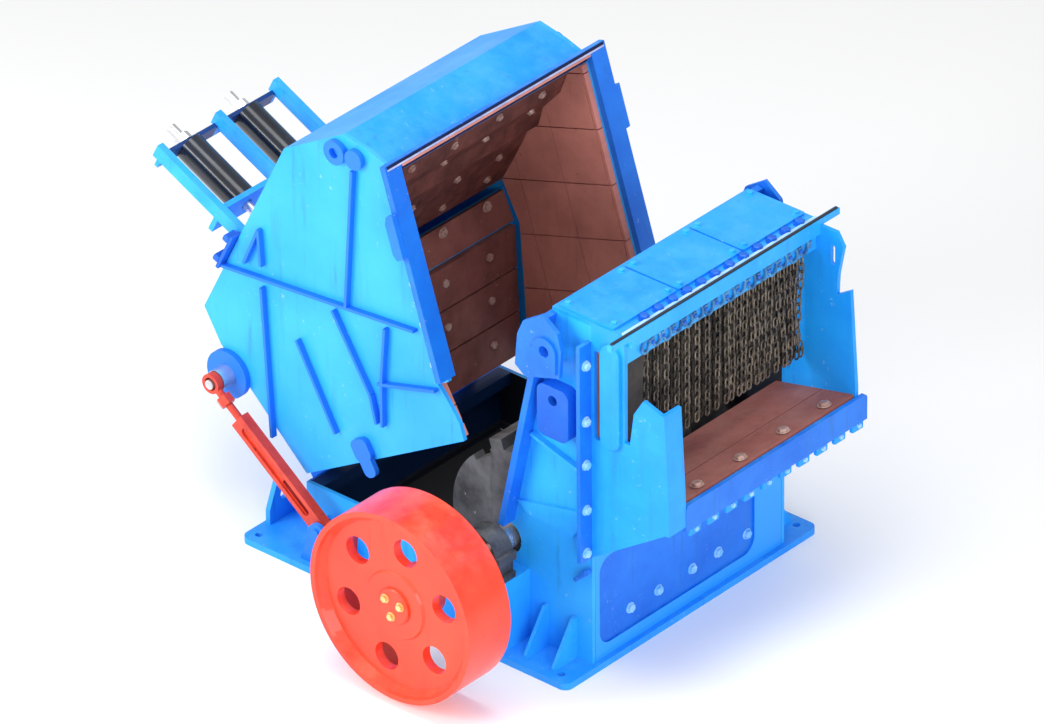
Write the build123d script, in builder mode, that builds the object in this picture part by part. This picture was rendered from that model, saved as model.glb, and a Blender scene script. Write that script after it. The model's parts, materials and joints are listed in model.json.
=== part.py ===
from build123d import *
import os
from math import atan2, cos, degrees, hypot, radians, sin, sqrt, tan

os.makedirs("parts", exist_ok=True)

# Impact crusher with one rotor, its rear upper housing turned open.
# Millimetres. +X points to the feed inlet, the belt pulley is on the -Y side, the floor is Z = 0.

# Plates and clearances
WALL = 20.0              # side walls and housing plates
LINER = 30.0             # wear plates inside the housing
RIB = 14.0               # stiffening ribs, thickness
RIB_DEPTH = 30.0         # stiffening ribs, how far they stand out
SEAM = 8.0               # closed gap between the two upper housings
REST = 6.0               # closed gap between the rear housing and the base
GROOVE = 5.0             # shadow gap between neighbouring wear plates

# Base
HALF = 627.0             # half width over the side walls
FLANGE_BACK = -906.0
FLANGE_FRONT = 926.0
FLANGE_OVER = 199.0      # floor flange outside the side walls
FLANGE_HALF = HALF + FLANGE_OVER
FLANGE_T = 32.0
BOLT_X = 850.0           # base bolts, half spacing along X
BOLT_EDGE = 56.0         # base bolts, from the flange's side edges
BOLT_Y = FLANGE_HALF - BOLT_EDGE
BOLT_R = 17.0
BACK_X = -700.0          # outer face of the base's rear wall
FRONT_X = 900.0          # outer face of the base's front wall
BASE_TOP = 292.0         # top edge of the base walls behind the joint
DECK_TOP = 1700.0
DECK_T = 16.0

# Joint plane between the front and the rear housing
JOINT_X = 405.0          # where the joint plane stands at JOINT_Z
JOINT_Z = 400.0
LEAN = 12.4              # degrees, it leans forward at the top
RIM = 73.0               # flange width outside the walls
RIM_T = 30.0             # flange thickness
RIM_FOOT = 580.0         # height at which the flanges begin

# Rotor
SHAFT_X = 430.0
SHAFT_Z = 475.0
SHAFT_R = 55.0
SHAFT_FREE = 80.0        # radius of the walls' cut-out for the shaft
DISC_R = 365.0
DISC_T = 60.0
DISCS = 4
ROTOR_R = 412.0          # over the blow bars
ROTOR_GAP = 25.0         # rotor to the side wear plates
ROTOR_HALF = HALF - WALL - LINER - ROTOR_GAP
BLOW_BARS = 4
BAR_T = 70.0
BAR_DEPTH = 150.0
BEARING_OUT = 138.0      # bearing centre outside the side walls
BEARING_Y = HALF + BEARING_OUT
BEARING_W = 110.0
BEARING_R = 108.0
FIT = 0.05               # radial clearance of running fits

# Pulley
PULLEY_R = 440.0
PULLEY_W = 262.0
PULLEY_REACH = 745.0     # outer face, outside the side walls
PULLEY_OUT = HALF + PULLEY_REACH
RIM_WALL = 32.0
WEB_T = 45.0
WEB_IN = 42.0            # web set back from the outer face
WEB_HOLES = 6
WEB_HOLE_R = 64.0
WEB_HOLE_PITCH = 279.0
HUB_R = 118.0
BOSS_R = 160.0           # low round boss on the web's outer face
BOSS_T = 10.0
CAP_R = 84.0             # keeper plate over the shaft's end

# Rear housing, drawn closed and then turned open about its hinge
HINGE_X = -758.0
HINGE_Z = 299.0
OPEN = 30.0              # degrees
LID_TOP = 1698.0
LID_BACK = -877.0
LID_NOSE = 130.0         # bevel at the top of the front edge
SLOPE_X = 13.0           # where the top plate turns into the rear slope
SLOPE_Z = 1113.0         # lower end of the rear slope
HEEL_Z = 933.0           # where the back plate starts to run in
HEEL_X = -689.0          # back plate's lower end
PIN_R = 25.0

# Turn-over screw strut on the near side
STRUT_OUT = 118.0        # outside the side walls
STRUT_Y = HALF + STRUT_OUT
STRUT_LUG_X = -886.0     # upper pin, closed pose
STRUT_LUG_Z = 804.0
STRUT_FOOT_X = -500.0
STRUT_FOOT_Z = 190.0
STRUT_W = 84.0
STRUT_T = 46.0

# Feed inlet
LIP_X = 1300.0
LIP_Z = 935.0            # upper face of the chute floor liner at the lip
CHUTE_FALL = 13.0        # degrees, the floor runs down towards the rotor
LINTEL_X = 1080.0
LINTEL_H = 120.0
CHAIN_END = 1010.0
CHAIN_X = 1015.0

BASE_LID = BASE_TOP + REST
INNER = HALF - WALL
CLEAR = INNER - LINER


def upright(y):
    """Plane on which X and Z are drawn; a positive extrude runs from y towards -Y."""
    return Plane(origin=(0, y, 0), x_dir=(1, 0, 0), z_dir=(0, -1, 0))


def turned(y):
    """The same for the rear housing: closed X and Z are drawn, and it stands open."""
    c = cos(radians(OPEN))
    s = sin(radians(OPEN))
    x = HINGE_X - HINGE_X * c + HINGE_Z * s
    z = HINGE_Z - HINGE_X * s - HINGE_Z * c
    return Plane(origin=(x, y, z), x_dir=(c, 0, s), z_dir=(0, -1, 0))


def joint_x(z, off=0.0):
    """X of the joint plane at height z, moved by off along its normal."""
    return JOINT_X + (z - JOINT_Z) * tan(radians(LEAN)) + off / cos(radians(LEAN))


def band(points, t):
    """Outline of a plate that lies to the right of a run of points, or to its left if t is negative."""
    inner = []
    n = len(points)
    for i in range(n):
        x, y = points[i]
        sides = []
        if i > 0:
            sides.append((points[i - 1], points[i]))
        if i < n - 1:
            sides.append((points[i], points[i + 1]))
        normals = []
        for a, b in sides:
            d = hypot(b[0] - a[0], b[1] - a[1])
            normals.append(((b[1] - a[1]) / d, -(b[0] - a[0]) / d))
        if len(normals) == 1:
            nx, ny = normals[0]
            inner.append((x + nx * t, y + ny * t))
        else:
            (ax, ay), (bx, by) = normals
            k = t / (1 + ax * bx + ay * by)
            inner.append((x + (ax + bx) * k, y + (ay + by) * k))
    return list(points) + inner[::-1]


def band_part(points, t, first, last):
    """One piece of a band, from one of its points to another, mitred at the bends."""
    whole = band(points, t)
    inner = whole[len(points):][::-1]
    return points[first:last + 1] + inner[first:last + 1][::-1]


def bar(a, b, w):
    """Outline of a straight bar of width w, centred on the line from a to b."""
    d = hypot(b[0] - a[0], b[1] - a[1])
    nx = -(b[1] - a[1]) / d * w / 2
    ny = (b[0] - a[0]) / d * w / 2
    return [(a[0] + nx, a[1] + ny), (b[0] + nx, b[1] + ny), (b[0] - nx, b[1] - ny), (a[0] - nx, a[1] - ny)]


def face(plane, points):
    """A straight-sided outline on a plane, ready to be extruded."""
    with BuildSketch(plane, mode=Mode.PRIVATE) as outline:
        with BuildLine():
            Polyline(*points, close=True)
        make_face()
    return outline.sketch


def save(part, label):
    part.label = label
    export_step(part, "parts/" + label + ".step")


# Base, standing on its floor flange
LUG_X = FLANGE_BACK + 16
LUG_T = 24.0
LUG_Y = HALF - 46.0
LUG_R = 100.0
with BuildPart() as base_flange:
    with BuildSketch():
        with Locations(((FLANGE_BACK + FLANGE_FRONT) / 2, 0)):
            RectangleRounded(FLANGE_FRONT - FLANGE_BACK, 2 * FLANGE_HALF, 40)
        with Locations(((BACK_X + FRONT_X) / 2, 0)):
            Rectangle(FRONT_X - BACK_X - 4 * WALL, 2 * (INNER - WALL), mode=Mode.SUBTRACT)
        with GridLocations(2 * BOLT_X, 2 * BOLT_Y, 2, 2):
            Circle(BOLT_R, mode=Mode.SUBTRACT)
    extrude(amount=FLANGE_T)
    for side in (-1, 1):
        with BuildSketch(Plane(origin=(LUG_X, side * LUG_Y, FLANGE_T), x_dir=(0, 1, 0), z_dir=(1, 0, 0))):
            with BuildLine():
                Polyline((-LUG_R, 0), (-LUG_R, 70), (-LUG_R / 2, 190), (LUG_R / 2, 190), (LUG_R, 70), (LUG_R, 0), close=True)
            make_face()
            with Locations((0, 120)):
                Circle(30, mode=Mode.SUBTRACT)
        extrude(amount=LUG_T)
save(base_flange.part, "base_flange")

# Side walls run from the base up into the front housing in one plane
WALL_TOP = DECK_TOP - DECK_T
wall_outline = [
    (BACK_X, FLANGE_T),
    (FRONT_X, FLANGE_T),
    (FRONT_X, WALL_TOP),
    (joint_x(WALL_TOP), WALL_TOP),
    (joint_x(JOINT_Z), JOINT_Z),
    (joint_x(BASE_TOP), BASE_TOP),
    (BACK_X, BASE_TOP),
]
PEDESTAL_X = 125.0
PEDESTAL_TOP = SHAFT_Z - BEARING_R - 2
CHUTE_T = 45.0           # chute floor with its wear plate
CHUTE_IN = 868.0         # inner end of the chute floor


def chute_z(x):
    """Height of the chute floor's wear face."""
    return LIP_Z - (LIP_X - x) * tan(radians(CHUTE_FALL))


FEED_SILL = chute_z(FRONT_X - WALL) - CHUTE_T / cos(radians(CHUTE_FALL)) - 1
PANEL_TOP = 560.0
DOUBLER_T = 14.0


def side_wall(side):
    """One side wall with its ribs, foot gussets and the pedestal of the bearing."""
    outer = -HALF if side < 0 else HALF + RIB_DEPTH
    with BuildPart() as wall:
        extrude(face(upright(-INNER if side < 0 else HALF), wall_outline), amount=WALL)
        # foot gussets beside the front corner
        for x in (646.0, 800.0):
            with BuildSketch(Plane(origin=(x, side * HALF, FLANGE_T), x_dir=(0, side, 0), z_dir=(1, 0, 0))):
                with BuildLine():
                    Polyline((0, 0), (150, 0), (150, side * 14), (24, side * 200), (0, side * 200), close=True)
                make_face()
            extrude(amount=16)
        # stiffeners that follow the side of the front housing
        ribs = [((526, 1054), (878, 968))]
        for a, b in ribs:
            start = (joint_x(a[1], RIM_T) + 8, a[1])
            extrude(face(upright(outer), bar(start, b, RIB)), amount=RIB_DEPTH)
        # doubler plate with rounded front corners
        with BuildSketch(upright(-HALF if side < 0 else HALF + DOUBLER_T)):
            with BuildLine():
                Polyline((500, 690), (853, 768), (853, 690), (800, 625), (553, 645), close=True)
            make_face()
            fillet(vertices().sort_by(Axis.X)[-2:], 26)
        extrude(amount=DOUBLER_T)
        # pedestal of the bearing
        with BuildSketch(Plane(origin=(SHAFT_X, side * HALF, FLANGE_T), x_dir=(1, 0, 0), z_dir=(0, side, 0))):
            with BuildLine():
                h = side * (PEDESTAL_TOP - FLANGE_T)
                Polyline((-PEDESTAL_X, 0), (PEDESTAL_X, 0), (PEDESTAL_X, -h), (-PEDESTAL_X, -h), close=True)
            make_face()
        extrude(amount=FLANGE_HALF - HALF - 2)
        # the shaft passes at the rear edge
        with BuildSketch(upright(HALF + 400)):
            with Locations((SHAFT_X, SHAFT_Z)):
                Circle(SHAFT_FREE)
        extrude(amount=2 * HALF + 800, mode=Mode.SUBTRACT)
    return wall.part


save(side_wall(-1), "near_side_wall")
save(side_wall(1), "far_side_wall")

RAIL = 60.0
with BuildPart() as base_rear_wall:
    with BuildSketch(upright(INNER)):
        with Locations((BACK_X + WALL / 2, (FLANGE_T + BASE_TOP) / 2)):
            Rectangle(WALL, BASE_TOP - FLANGE_T)
    extrude(amount=2 * INNER)
    with BuildSketch(upright(INNER)):
        with Locations((BACK_X + WALL + RAIL / 2, BASE_TOP - RAIL / 2)):
            Rectangle(RAIL, RAIL)
            Rectangle(RAIL - 24, RAIL - 24, mode=Mode.SUBTRACT)
    extrude(amount=2 * INNER)
save(base_rear_wall.part, "base_rear_wall")

# Front wall under the chute, with a recessed panel that is rounded at its far end
PANEL_DEEP = 10.0
PANEL_SIDE = 117.0       # plain wall beside the panel
PANEL_OFF = -75.0
with BuildPart() as base_front_wall:
    with BuildSketch(Plane(origin=(FRONT_X - WALL, 0, 0), x_dir=(0, 1, 0), z_dir=(1, 0, 0))):
        with Locations((0, (FLANGE_T + FEED_SILL) / 2)):
            Rectangle(2 * INNER, FEED_SILL - FLANGE_T)
    extrude(amount=WALL)
    with BuildSketch(Plane(origin=(FRONT_X, 0, 0), x_dir=(0, 1, 0), z_dir=(1, 0, 0))):
        with Locations((PANEL_OFF, (FLANGE_T + PANEL_TOP) / 2 + 10)):
            RectangleRounded(2 * (HALF - WALL + PANEL_OFF / 2 - PANEL_SIDE) + 2 * WALL + 65, PANEL_TOP - FLANGE_T - 100, 70)
    extrude(amount=-PANEL_DEEP, mode=Mode.SUBTRACT)
save(base_front_wall.part, "base_front_wall")

# Bolted upright flanges at the two front corners
POST_FOOT = 560.0
POST_TOP = 1610.0
with BuildPart() as corner_posts:
    for side in (-1, 1):
        with BuildSketch(Plane(origin=(FRONT_X - WALL, 0, 0), x_dir=(0, 1, 0), z_dir=(1, 0, 0))):
            with Locations((side * (HALF + RIM / 2), (POST_FOOT + POST_TOP) / 2)):
                Rectangle(RIM, POST_TOP - POST_FOOT)
        extrude(amount=WALL)
save(corner_posts.part, "corner_posts")

# Flange of the front housing along the joint plane: two sides and the top
joint_dir = (sin(radians(LEAN)), 0, cos(radians(LEAN)))
joint_out = (cos(radians(LEAN)), 0, -sin(radians(LEAN)))


def joint_plane(off):
    """Plane in the joint: first axis along Y, second up the joint."""
    return Plane(origin=(joint_x(0, off), 0, 0), x_dir=(0, 1, 0), z_dir=joint_out)


def up_joint(z):
    return z / cos(radians(LEAN))


with BuildPart() as front_rim:
    for side in (-1, 1):
        with BuildSketch(joint_plane(0)):
            with Locations((side * (HALF + RIM / 2), (up_joint(RIM_FOOT) + up_joint(WALL_TOP)) / 2)):
                Rectangle(RIM, up_joint(WALL_TOP) - up_joint(RIM_FOOT))
        extrude(amount=RIM_T)
save(front_rim.part, "front_rim")

# Deck with three bolted covers, and the ears that overlap the joint outside its flanges
DECK_BACK = joint_x(DECK_TOP)
COVER_T = 12.0
with BuildPart() as top_deck:
    with BuildSketch(Plane.XY.offset(WALL_TOP)):
        with Locations(((DECK_BACK + LINTEL_X) / 2, 0)):
            Rectangle(LINTEL_X - DECK_BACK, 2 * HALF)
    extrude(amount=DECK_T)
save(top_deck.part, "top_deck")

with BuildPart() as deck_covers:
    with BuildSketch(Plane.XY.offset(DECK_TOP)):
        with Locations(((DECK_BACK + LINTEL_X) / 2 - 20, 0)):
            with GridLocations(0, 2 * HALF / 3 - 4, 1, 3):
                RectangleRounded(LINTEL_X - DECK_BACK - 90, 2 * HALF / 3 - 14, 12)
    extrude(amount=COVER_T)
save(deck_covers.part, "deck_covers")

EAR_T = 20.0
EAR_GAP = 5.0
EAR_Y = HALF + RIM + EAR_GAP
ear_outline = [
    (joint_x(1380, 2), 1380),
    (joint_x(1380, 185), 1440),
    (joint_x(1380, 196), 1570),
    (joint_x(1640, 120), 1650),
    (joint_x(1700, 25), 1712),
    (joint_x(1640, -62), 1645),
    (joint_x(1570, -78), 1572),
    (joint_x(1420, -60), 1420),
]
EYE_OFF = 77.0           # lifting eye, in front of the joint
EAR_EYE_Z = 1547.0
EAR_BOSS = 12.0
with BuildPart() as joint_ears:
    for side in (-1, 1):
        extrude(face(upright(-EAR_Y if side < 0 else EAR_Y + EAR_T), ear_outline), amount=EAR_T)
        # pad that seats the ear on the flange of the front housing
        pad = [(joint_x(z, off), z) for z, off in ((1380, 2), (1380, RIM_T - 2), (1640, RIM_T - 2), (1640, 2))]
        extrude(face(upright(-HALF - RIM if side < 0 else EAR_Y), pad), amount=EAR_GAP)
        # boss round the lifting eye, with a flat foot
        with BuildSketch(upright(-EAR_Y - EAR_T if side < 0 else EAR_Y + EAR_T + EAR_BOSS)):
            with Locations((joint_x(EAR_EYE_Z, EYE_OFF), EAR_EYE_Z)):
                Circle(62)
            with Locations((joint_x(EAR_EYE_Z, EYE_OFF) - 6, EAR_EYE_Z - 45)):
                Rectangle(136, 90)
        extrude(amount=EAR_BOSS)
    with BuildSketch(upright(EAR_Y + EAR_T + EAR_BOSS)):
        with Locations((joint_x(EAR_EYE_Z, EYE_OFF), EAR_EYE_Z)):
            Circle(26)
    extrude(amount=2 * (EAR_Y + EAR_T + EAR_BOSS), mode=Mode.SUBTRACT)
save(joint_ears.part, "joint_ears")

# Clamp blocks on the side walls that take the closing bolts
with BuildPart() as clamp_blocks:
    for side in (-1, 1):
        with BuildSketch(upright(-HALF if side < 0 else HALF + 62)):
            with Locations((joint_x(1230, 150), 1230)):
                RectangleRounded(170, 250, 40)
                with Locations((0, 60)):
                    Circle(24, mode=Mode.SUBTRACT)
        extrude(amount=62)
save(clamp_blocks.part, "clamp_blocks")

# Cheeks of the feed inlet, in line with the side walls
CHEEK_FOOT = 825.0
EDGE_TOP = (1275.0, 1400.0)   # top of the near cheek's front edge
far_outline = [
    (FRONT_X, POST_FOOT),
    (LIP_X, CHEEK_FOOT),
    (LIP_X, LIP_Z + 30),
    (1268, 1430),
    (1195, 1385),
    (1200, 1480),
    (1228, WALL_TOP - 60),
    (1190, WALL_TOP),
    (FRONT_X, WALL_TOP),
]
near_outline = [
    (FRONT_X, POST_FOOT),
    (LIP_X, CHEEK_FOOT),
    (LIP_X, LIP_Z + 30),
    EDGE_TOP,
    (1180, 1430),
    (1130, 1350),
    (1108, 1190),
    (LINTEL_X, 1190),
    (LINTEL_X, WALL_TOP),
    (FRONT_X, WALL_TOP),
]
SLOT_X = FRONT_X + 32
FAR_SLOT_X = LINTEL_X + 92
FAR_SLOT_Z = WALL_TOP - 116
FAR_SLOT_LEN = 96.0
RETURN_W = 110.0
RETURN_T = 18.0
return_outline = [
    (LIP_X, CHEEK_FOOT),
    (LIP_X, LIP_Z + 30),
    EDGE_TOP,
    (EDGE_TOP[0] + RETURN_T, EDGE_TOP[1]),
    (LIP_X + RETURN_T, LIP_Z + 30),
    (LIP_X + RETURN_T, CHEEK_FOOT),
]
with BuildPart() as far_cheek:
    extrude(face(upright(HALF), far_outline), amount=WALL)
    with BuildSketch(upright(HALF)):
        with Locations((FAR_SLOT_X, FAR_SLOT_Z)):
            SlotOverall(FAR_SLOT_LEN, 24, rotation=90)
    extrude(amount=WALL, mode=Mode.SUBTRACT)
save(far_cheek.part, "far_cheek")

with BuildPart() as near_cheek:
    extrude(face(upright(-INNER), near_outline), amount=WALL)
    with BuildSketch(upright(-INNER)):
        with Locations((SLOT_X, 1360)):
            SlotOverall(430, 34, rotation=90)
    extrude(amount=WALL, mode=Mode.SUBTRACT)
    # plate across the cheek's front edge, in line with the lip flange
    extrude(face(upright(-HALF + RETURN_W), return_outline), amount=RETURN_W)
save(near_cheek.part, "near_cheek")

WING_W = 104.0
with BuildPart() as near_wing:
    with BuildSketch(upright(-HALF)):
        with Locations((SLOT_X + 26 + WING_W / 2, 1385)):
            Rectangle(WING_W, 500)
        fillet(vertices().group_by(Axis.Z)[0], 50)
    extrude(amount=22)
    chamfer(edges().group_by(Axis.Y)[0], 7)
save(near_wing.part, "near_wing")

FLOOR_END = LIP_X - CHUTE_T * sin(radians(CHUTE_FALL)) - 1
with BuildPart() as chute_floor:
    with BuildSketch(upright(INNER)):
        with BuildLine():
            Polyline(*band([(CHUTE_IN, chute_z(CHUTE_IN)), (FLOOR_END, chute_z(FLOOR_END))], CHUTE_T), close=True)
        make_face()
        with BuildLine():
            Polyline(*band([(CHUTE_IN - 20, chute_z(CHUTE_IN - 20)), (LIP_X + 20, chute_z(LIP_X + 20))], LINER - 4), close=True)
        make_face(mode=Mode.SUBTRACT)
    extrude(amount=2 * INNER)
save(chute_floor.part, "chute_floor")

with BuildPart() as chute_liner:
    middle = (CHUTE_IN + LIP_X) / 2 + 40
    for a, b in ((CHUTE_IN, middle - GROOVE), (middle, FLOOR_END)):
        extrude(face(upright(INNER), band([(a, chute_z(a)), (b, chute_z(b))], LINER - 4)), amount=2 * INNER)
save(chute_liner.part, "chute_liner")

LIP_OVER = 36.0          # lip flange outside the far cheek
with BuildPart() as lip_flange:
    with BuildSketch(Plane(origin=(LIP_X, 0, 0), x_dir=(0, 1, 0), z_dir=(1, 0, 0))):
        with Locations(((LIP_OVER + RETURN_W) / 2, (CHEEK_FOOT + LIP_Z) / 2 - 18)):
            Rectangle(2 * HALF + LIP_OVER - RETURN_W, LIP_Z - CHEEK_FOOT + 14)
        fillet(vertices().group_by(Axis.Y)[-1], 20)
    extrude(amount=20)
save(lip_flange.part, "lip_flange")

RAIL_Z = WALL_TOP - LINTEL_H + 20
with BuildPart() as lintel:
    with BuildSketch(upright(INNER)):
        with Locations((LINTEL_X - WALL / 2, WALL_TOP - LINTEL_H / 2)):
            Rectangle(WALL, LINTEL_H)
        with Locations((CHAIN_X, RAIL_Z)):
            Circle(24)
    extrude(amount=2 * INNER)
save(lintel.part, "lintel")

# Wide rail along the deck's front edge
HOOD_HALF = HALF + RIM + 35
HOOD_T = 24.0
HOOD_UP = 14.0
with BuildPart() as hood_rail:
    with BuildSketch(Plane(origin=(LINTEL_X, 0, 0), x_dir=(0, 1, 0), z_dir=(1, 0, 0))):
        with Locations((0, (WALL_TOP + DECK_TOP + HOOD_UP) / 2)):
            Rectangle(2 * HOOD_HALF, DECK_TOP + HOOD_UP - WALL_TOP)
        with Locations((0, WALL_TOP - 20)):
            Rectangle(2 * INNER, 40)
    extrude(amount=HOOD_T)
save(hood_rail.part, "hood_rail")

with BuildPart() as chain_curtain:
    with BuildSketch(upright(INNER - 12)):
        with Locations((CHAIN_X, (CHAIN_END + RAIL_Z - 24) / 2)):
            Rectangle(36, RAIL_Z - 24 - CHAIN_END)
    extrude(amount=2 * INNER - 24)
save(chain_curtain.part, "chain_curtain")

with BuildPart() as front_liners:
    # on the front wall, opposite the rotor
    with BuildSketch(upright(CLEAR)):
        with Locations((FRONT_X - WALL - 12, (FLANGE_T + FEED_SILL) / 2 + 40)):
            Rectangle(24, FEED_SILL - FLANGE_T - 90)
    extrude(amount=2 * CLEAR)
    # on the side walls above the rotor
    side_liner = [
        (joint_x(940, 14), 940),
        (CHUTE_IN + 60, 940),
        (CHUTE_IN + 60, WALL_TOP - 12),
        (joint_x(WALL_TOP - 12, 14), WALL_TOP - 12),
    ]
    for y in (INNER, -CLEAR):
        extrude(face(upright(y), side_liner), amount=LINER)
save(front_liners.part, "front_liners")

# Hinge brackets on the base's rear wall, one pin each
HINGE_Y = 430.0
EAR_R = 46.0
HINGE_EAR = 26.0
KNUCKLE_W = 60.0
PIN_OVER = 14.0
with BuildPart() as hinge_brackets:
    for y in (-HINGE_Y, HINGE_Y):
        for dy in (-1, 1):
            top = y + dy * (KNUCKLE_W / 2 + 6 + HINGE_EAR / 2) + HINGE_EAR / 2
            with BuildSketch(upright(top)):
                with Locations((HINGE_X, HINGE_Z)):
                    Circle(EAR_R)
                with BuildLine():
                    Polyline(
                        (HINGE_X - EAR_R, HINGE_Z),
                        (HINGE_X + EAR_R, HINGE_Z),
                        (BACK_X, HINGE_Z - 30),
                        (BACK_X, HINGE_Z - 220),
                        (HINGE_X - EAR_R, HINGE_Z - 60),
                        close=True,
                    )
                make_face()
            extrude(amount=HINGE_EAR)
        pin_w = KNUCKLE_W + 12 + 2 * HINGE_EAR + 2 * PIN_OVER
        with BuildSketch(upright(y + pin_w / 2)):
            with Locations((HINGE_X, HINGE_Z)):
                Circle(PIN_R)
        extrude(amount=pin_w)
save(hinge_brackets.part, "hinge_brackets")

# Foot bracket of the turn-over strut, on the floor flange
FOOT_T = 20.0
STRUT_PIN = 20.0
with BuildPart() as strut_bracket:
    for dy in (-1, 1):
        y = -STRUT_Y + dy * (STRUT_T / 2 + 5 + FOOT_T / 2) + FOOT_T / 2
        with BuildSketch(upright(y)):
            with Locations((STRUT_FOOT_X, STRUT_FOOT_Z)):
                Circle(44)
            with BuildLine():
                Polyline(
                    (STRUT_FOOT_X - 44, STRUT_FOOT_Z),
                    (STRUT_FOOT_X + 44, STRUT_FOOT_Z),
                    (STRUT_FOOT_X + 90, FLANGE_T),
                    (STRUT_FOOT_X - 90, FLANGE_T),
                    close=True,
                )
            make_face()
        extrude(amount=FOOT_T)
    strut_pin_w = STRUT_T + 10 + 2 * FOOT_T + 20
    with BuildSketch(upright(-STRUT_Y + strut_pin_w / 2)):
        with Locations((STRUT_FOOT_X, STRUT_FOOT_Z)):
            Circle(STRUT_PIN)
    extrude(amount=strut_pin_w)
save(strut_bracket.part, "strut_bracket")

# Bearings on the pedestals, split at the shaft's height
CAP_T = 26.0


def bearing(side):
    """Pillow block with a foot, a round body, two cap bolt bosses and a bore for the shaft."""
    near = side * BEARING_Y + BEARING_W / 2
    with BuildPart() as block:
        with BuildSketch(upright(near)):
            with Locations((SHAFT_X, SHAFT_Z)):
                Circle(BEARING_R)
            with Locations((SHAFT_X, PEDESTAL_TOP + 2 + CAP_T / 2)):
                Rectangle(2 * PEDESTAL_X - 10, CAP_T)
            with Locations((SHAFT_X, (SHAFT_Z + PEDESTAL_TOP + 2) / 2)):
                Rectangle(2 * BEARING_R - 6, SHAFT_Z - PEDESTAL_TOP - 2)
            with Locations((SHAFT_X, SHAFT_Z)):
                Rectangle(2 * BEARING_R + 34, 40)
        extrude(amount=BEARING_W)
        with BuildSketch(upright(near + 12)):
            with Locations((SHAFT_X, SHAFT_Z)):
                Circle(SHAFT_R + 24)
        extrude(amount=BEARING_W + 24)
        with BuildSketch(upright(near + 12)):
            with Locations((SHAFT_X, SHAFT_Z)):
                Circle(SHAFT_R + FIT)
        extrude(amount=BEARING_W + 24, mode=Mode.SUBTRACT)
        with BuildSketch(upright(near)):
            with Locations((SHAFT_X, PEDESTAL_TOP + 1)):
                Rectangle(2 * PEDESTAL_X - 10, 2)
        extrude(amount=BEARING_W)
    return block.part


save(bearing(-1), "near_bearing")
save(bearing(1), "far_bearing")

# Rotor: stepped shaft, discs with seats, and blow bars across the full width
COLLAR_R = 72.0
PULLEY_IN = PULLEY_OUT - PULLEY_W
SHAFT_END = PULLEY_OUT - WEB_IN + BOSS_T - 1
FAR_END = BEARING_Y + BEARING_W / 2 + 40
with BuildPart() as rotor_shaft:
    with BuildSketch(upright(FAR_END)):
        with Locations((SHAFT_X, SHAFT_Z)):
            Circle(SHAFT_R)
    extrude(amount=FAR_END + SHAFT_END)
    with BuildSketch(upright(ROTOR_HALF)):
        with Locations((SHAFT_X, SHAFT_Z)):
            Circle(COLLAR_R)
    extrude(amount=2 * ROTOR_HALF)
save(rotor_shaft.part, "rotor_shaft")

DISC_PITCH = (2 * ROTOR_HALF - DISC_T) / (DISCS - 1)
BAR_START = 18.0         # degrees
with BuildPart() as rotor_discs:
    for i in range(DISCS):
        with BuildSketch(upright(ROTOR_HALF - i * DISC_PITCH)):
            with Locations((SHAFT_X, SHAFT_Z)):
                Circle(DISC_R)
                Circle(COLLAR_R, mode=Mode.SUBTRACT)
                with PolarLocations(ROTOR_R - BAR_DEPTH / 2, BLOW_BARS, start_angle=BAR_START):
                    Rectangle(BAR_DEPTH, BAR_T, mode=Mode.SUBTRACT)
                # shoulders behind the bars leave a step in front of each of them
                with PolarLocations(DISC_R, BLOW_BARS, start_angle=BAR_START + 16):
                    Rectangle(60, 110, mode=Mode.SUBTRACT)
        extrude(amount=DISC_T)
save(rotor_discs.part, "rotor_discs")

with BuildPart() as blow_bars:
    with BuildSketch(upright(ROTOR_HALF)):
        with Locations((SHAFT_X, SHAFT_Z)):
            with PolarLocations(ROTOR_R - BAR_DEPTH / 2, BLOW_BARS, start_angle=BAR_START):
                Rectangle(BAR_DEPTH, BAR_T)
    extrude(amount=2 * ROTOR_HALF)
save(blow_bars.part, "blow_bars")

# Belt pulley: rim, set-back web with round holes, and hub
web_out = PULLEY_OUT - WEB_IN
with BuildPart() as pulley:
    with BuildSketch(Plane(origin=(SHAFT_X, 0, SHAFT_Z), x_dir=(1, 0, 0), z_dir=(0, 0, 1))):
        with BuildLine():
            Polyline(
                (PULLEY_R, -PULLEY_OUT),
                (PULLEY_R, -PULLEY_IN),
                (PULLEY_R - RIM_WALL, -PULLEY_IN),
                (PULLEY_R - RIM_WALL - 12, -web_out + WEB_T + 10),
                (PULLEY_R - RIM_WALL - 22, -web_out + WEB_T),
                (HUB_R + 12, -web_out + WEB_T),
                (HUB_R, -web_out + WEB_T + 12),
                (HUB_R, -PULLEY_IN - 40),
                (SHAFT_R + 18, -PULLEY_IN - 40),
                (SHAFT_R + 18, -web_out - BOSS_T),
                (BOSS_R - 8, -web_out - BOSS_T),
                (BOSS_R, -web_out),
                (PULLEY_R - RIM_WALL - 22, -web_out),
                (PULLEY_R - RIM_WALL, -PULLEY_OUT + 14),
                (PULLEY_R - RIM_WALL + 8, -PULLEY_OUT),
                close=True,
            )
        make_face()
    revolve(axis=Axis((SHAFT_X, 0, SHAFT_Z), (0, 1, 0)))
    with BuildSketch(upright(0)):
        with Locations((SHAFT_X, SHAFT_Z)):
            with PolarLocations(WEB_HOLE_PITCH, WEB_HOLES, start_angle=18.5):
                Circle(WEB_HOLE_R)
    extrude(amount=PULLEY_OUT + 20, mode=Mode.SUBTRACT)
save(pulley.part, "pulley")

with BuildPart() as pulley_bush:
    with BuildSketch(upright(-PULLEY_IN - 40)):
        with Locations((SHAFT_X, SHAFT_Z)):
            Circle(SHAFT_R + 18)
            Circle(SHAFT_R, mode=Mode.SUBTRACT)
    extrude(amount=web_out + BOSS_T - PULLEY_IN - 40)
save(pulley_bush.part, "pulley_bush")

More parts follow.
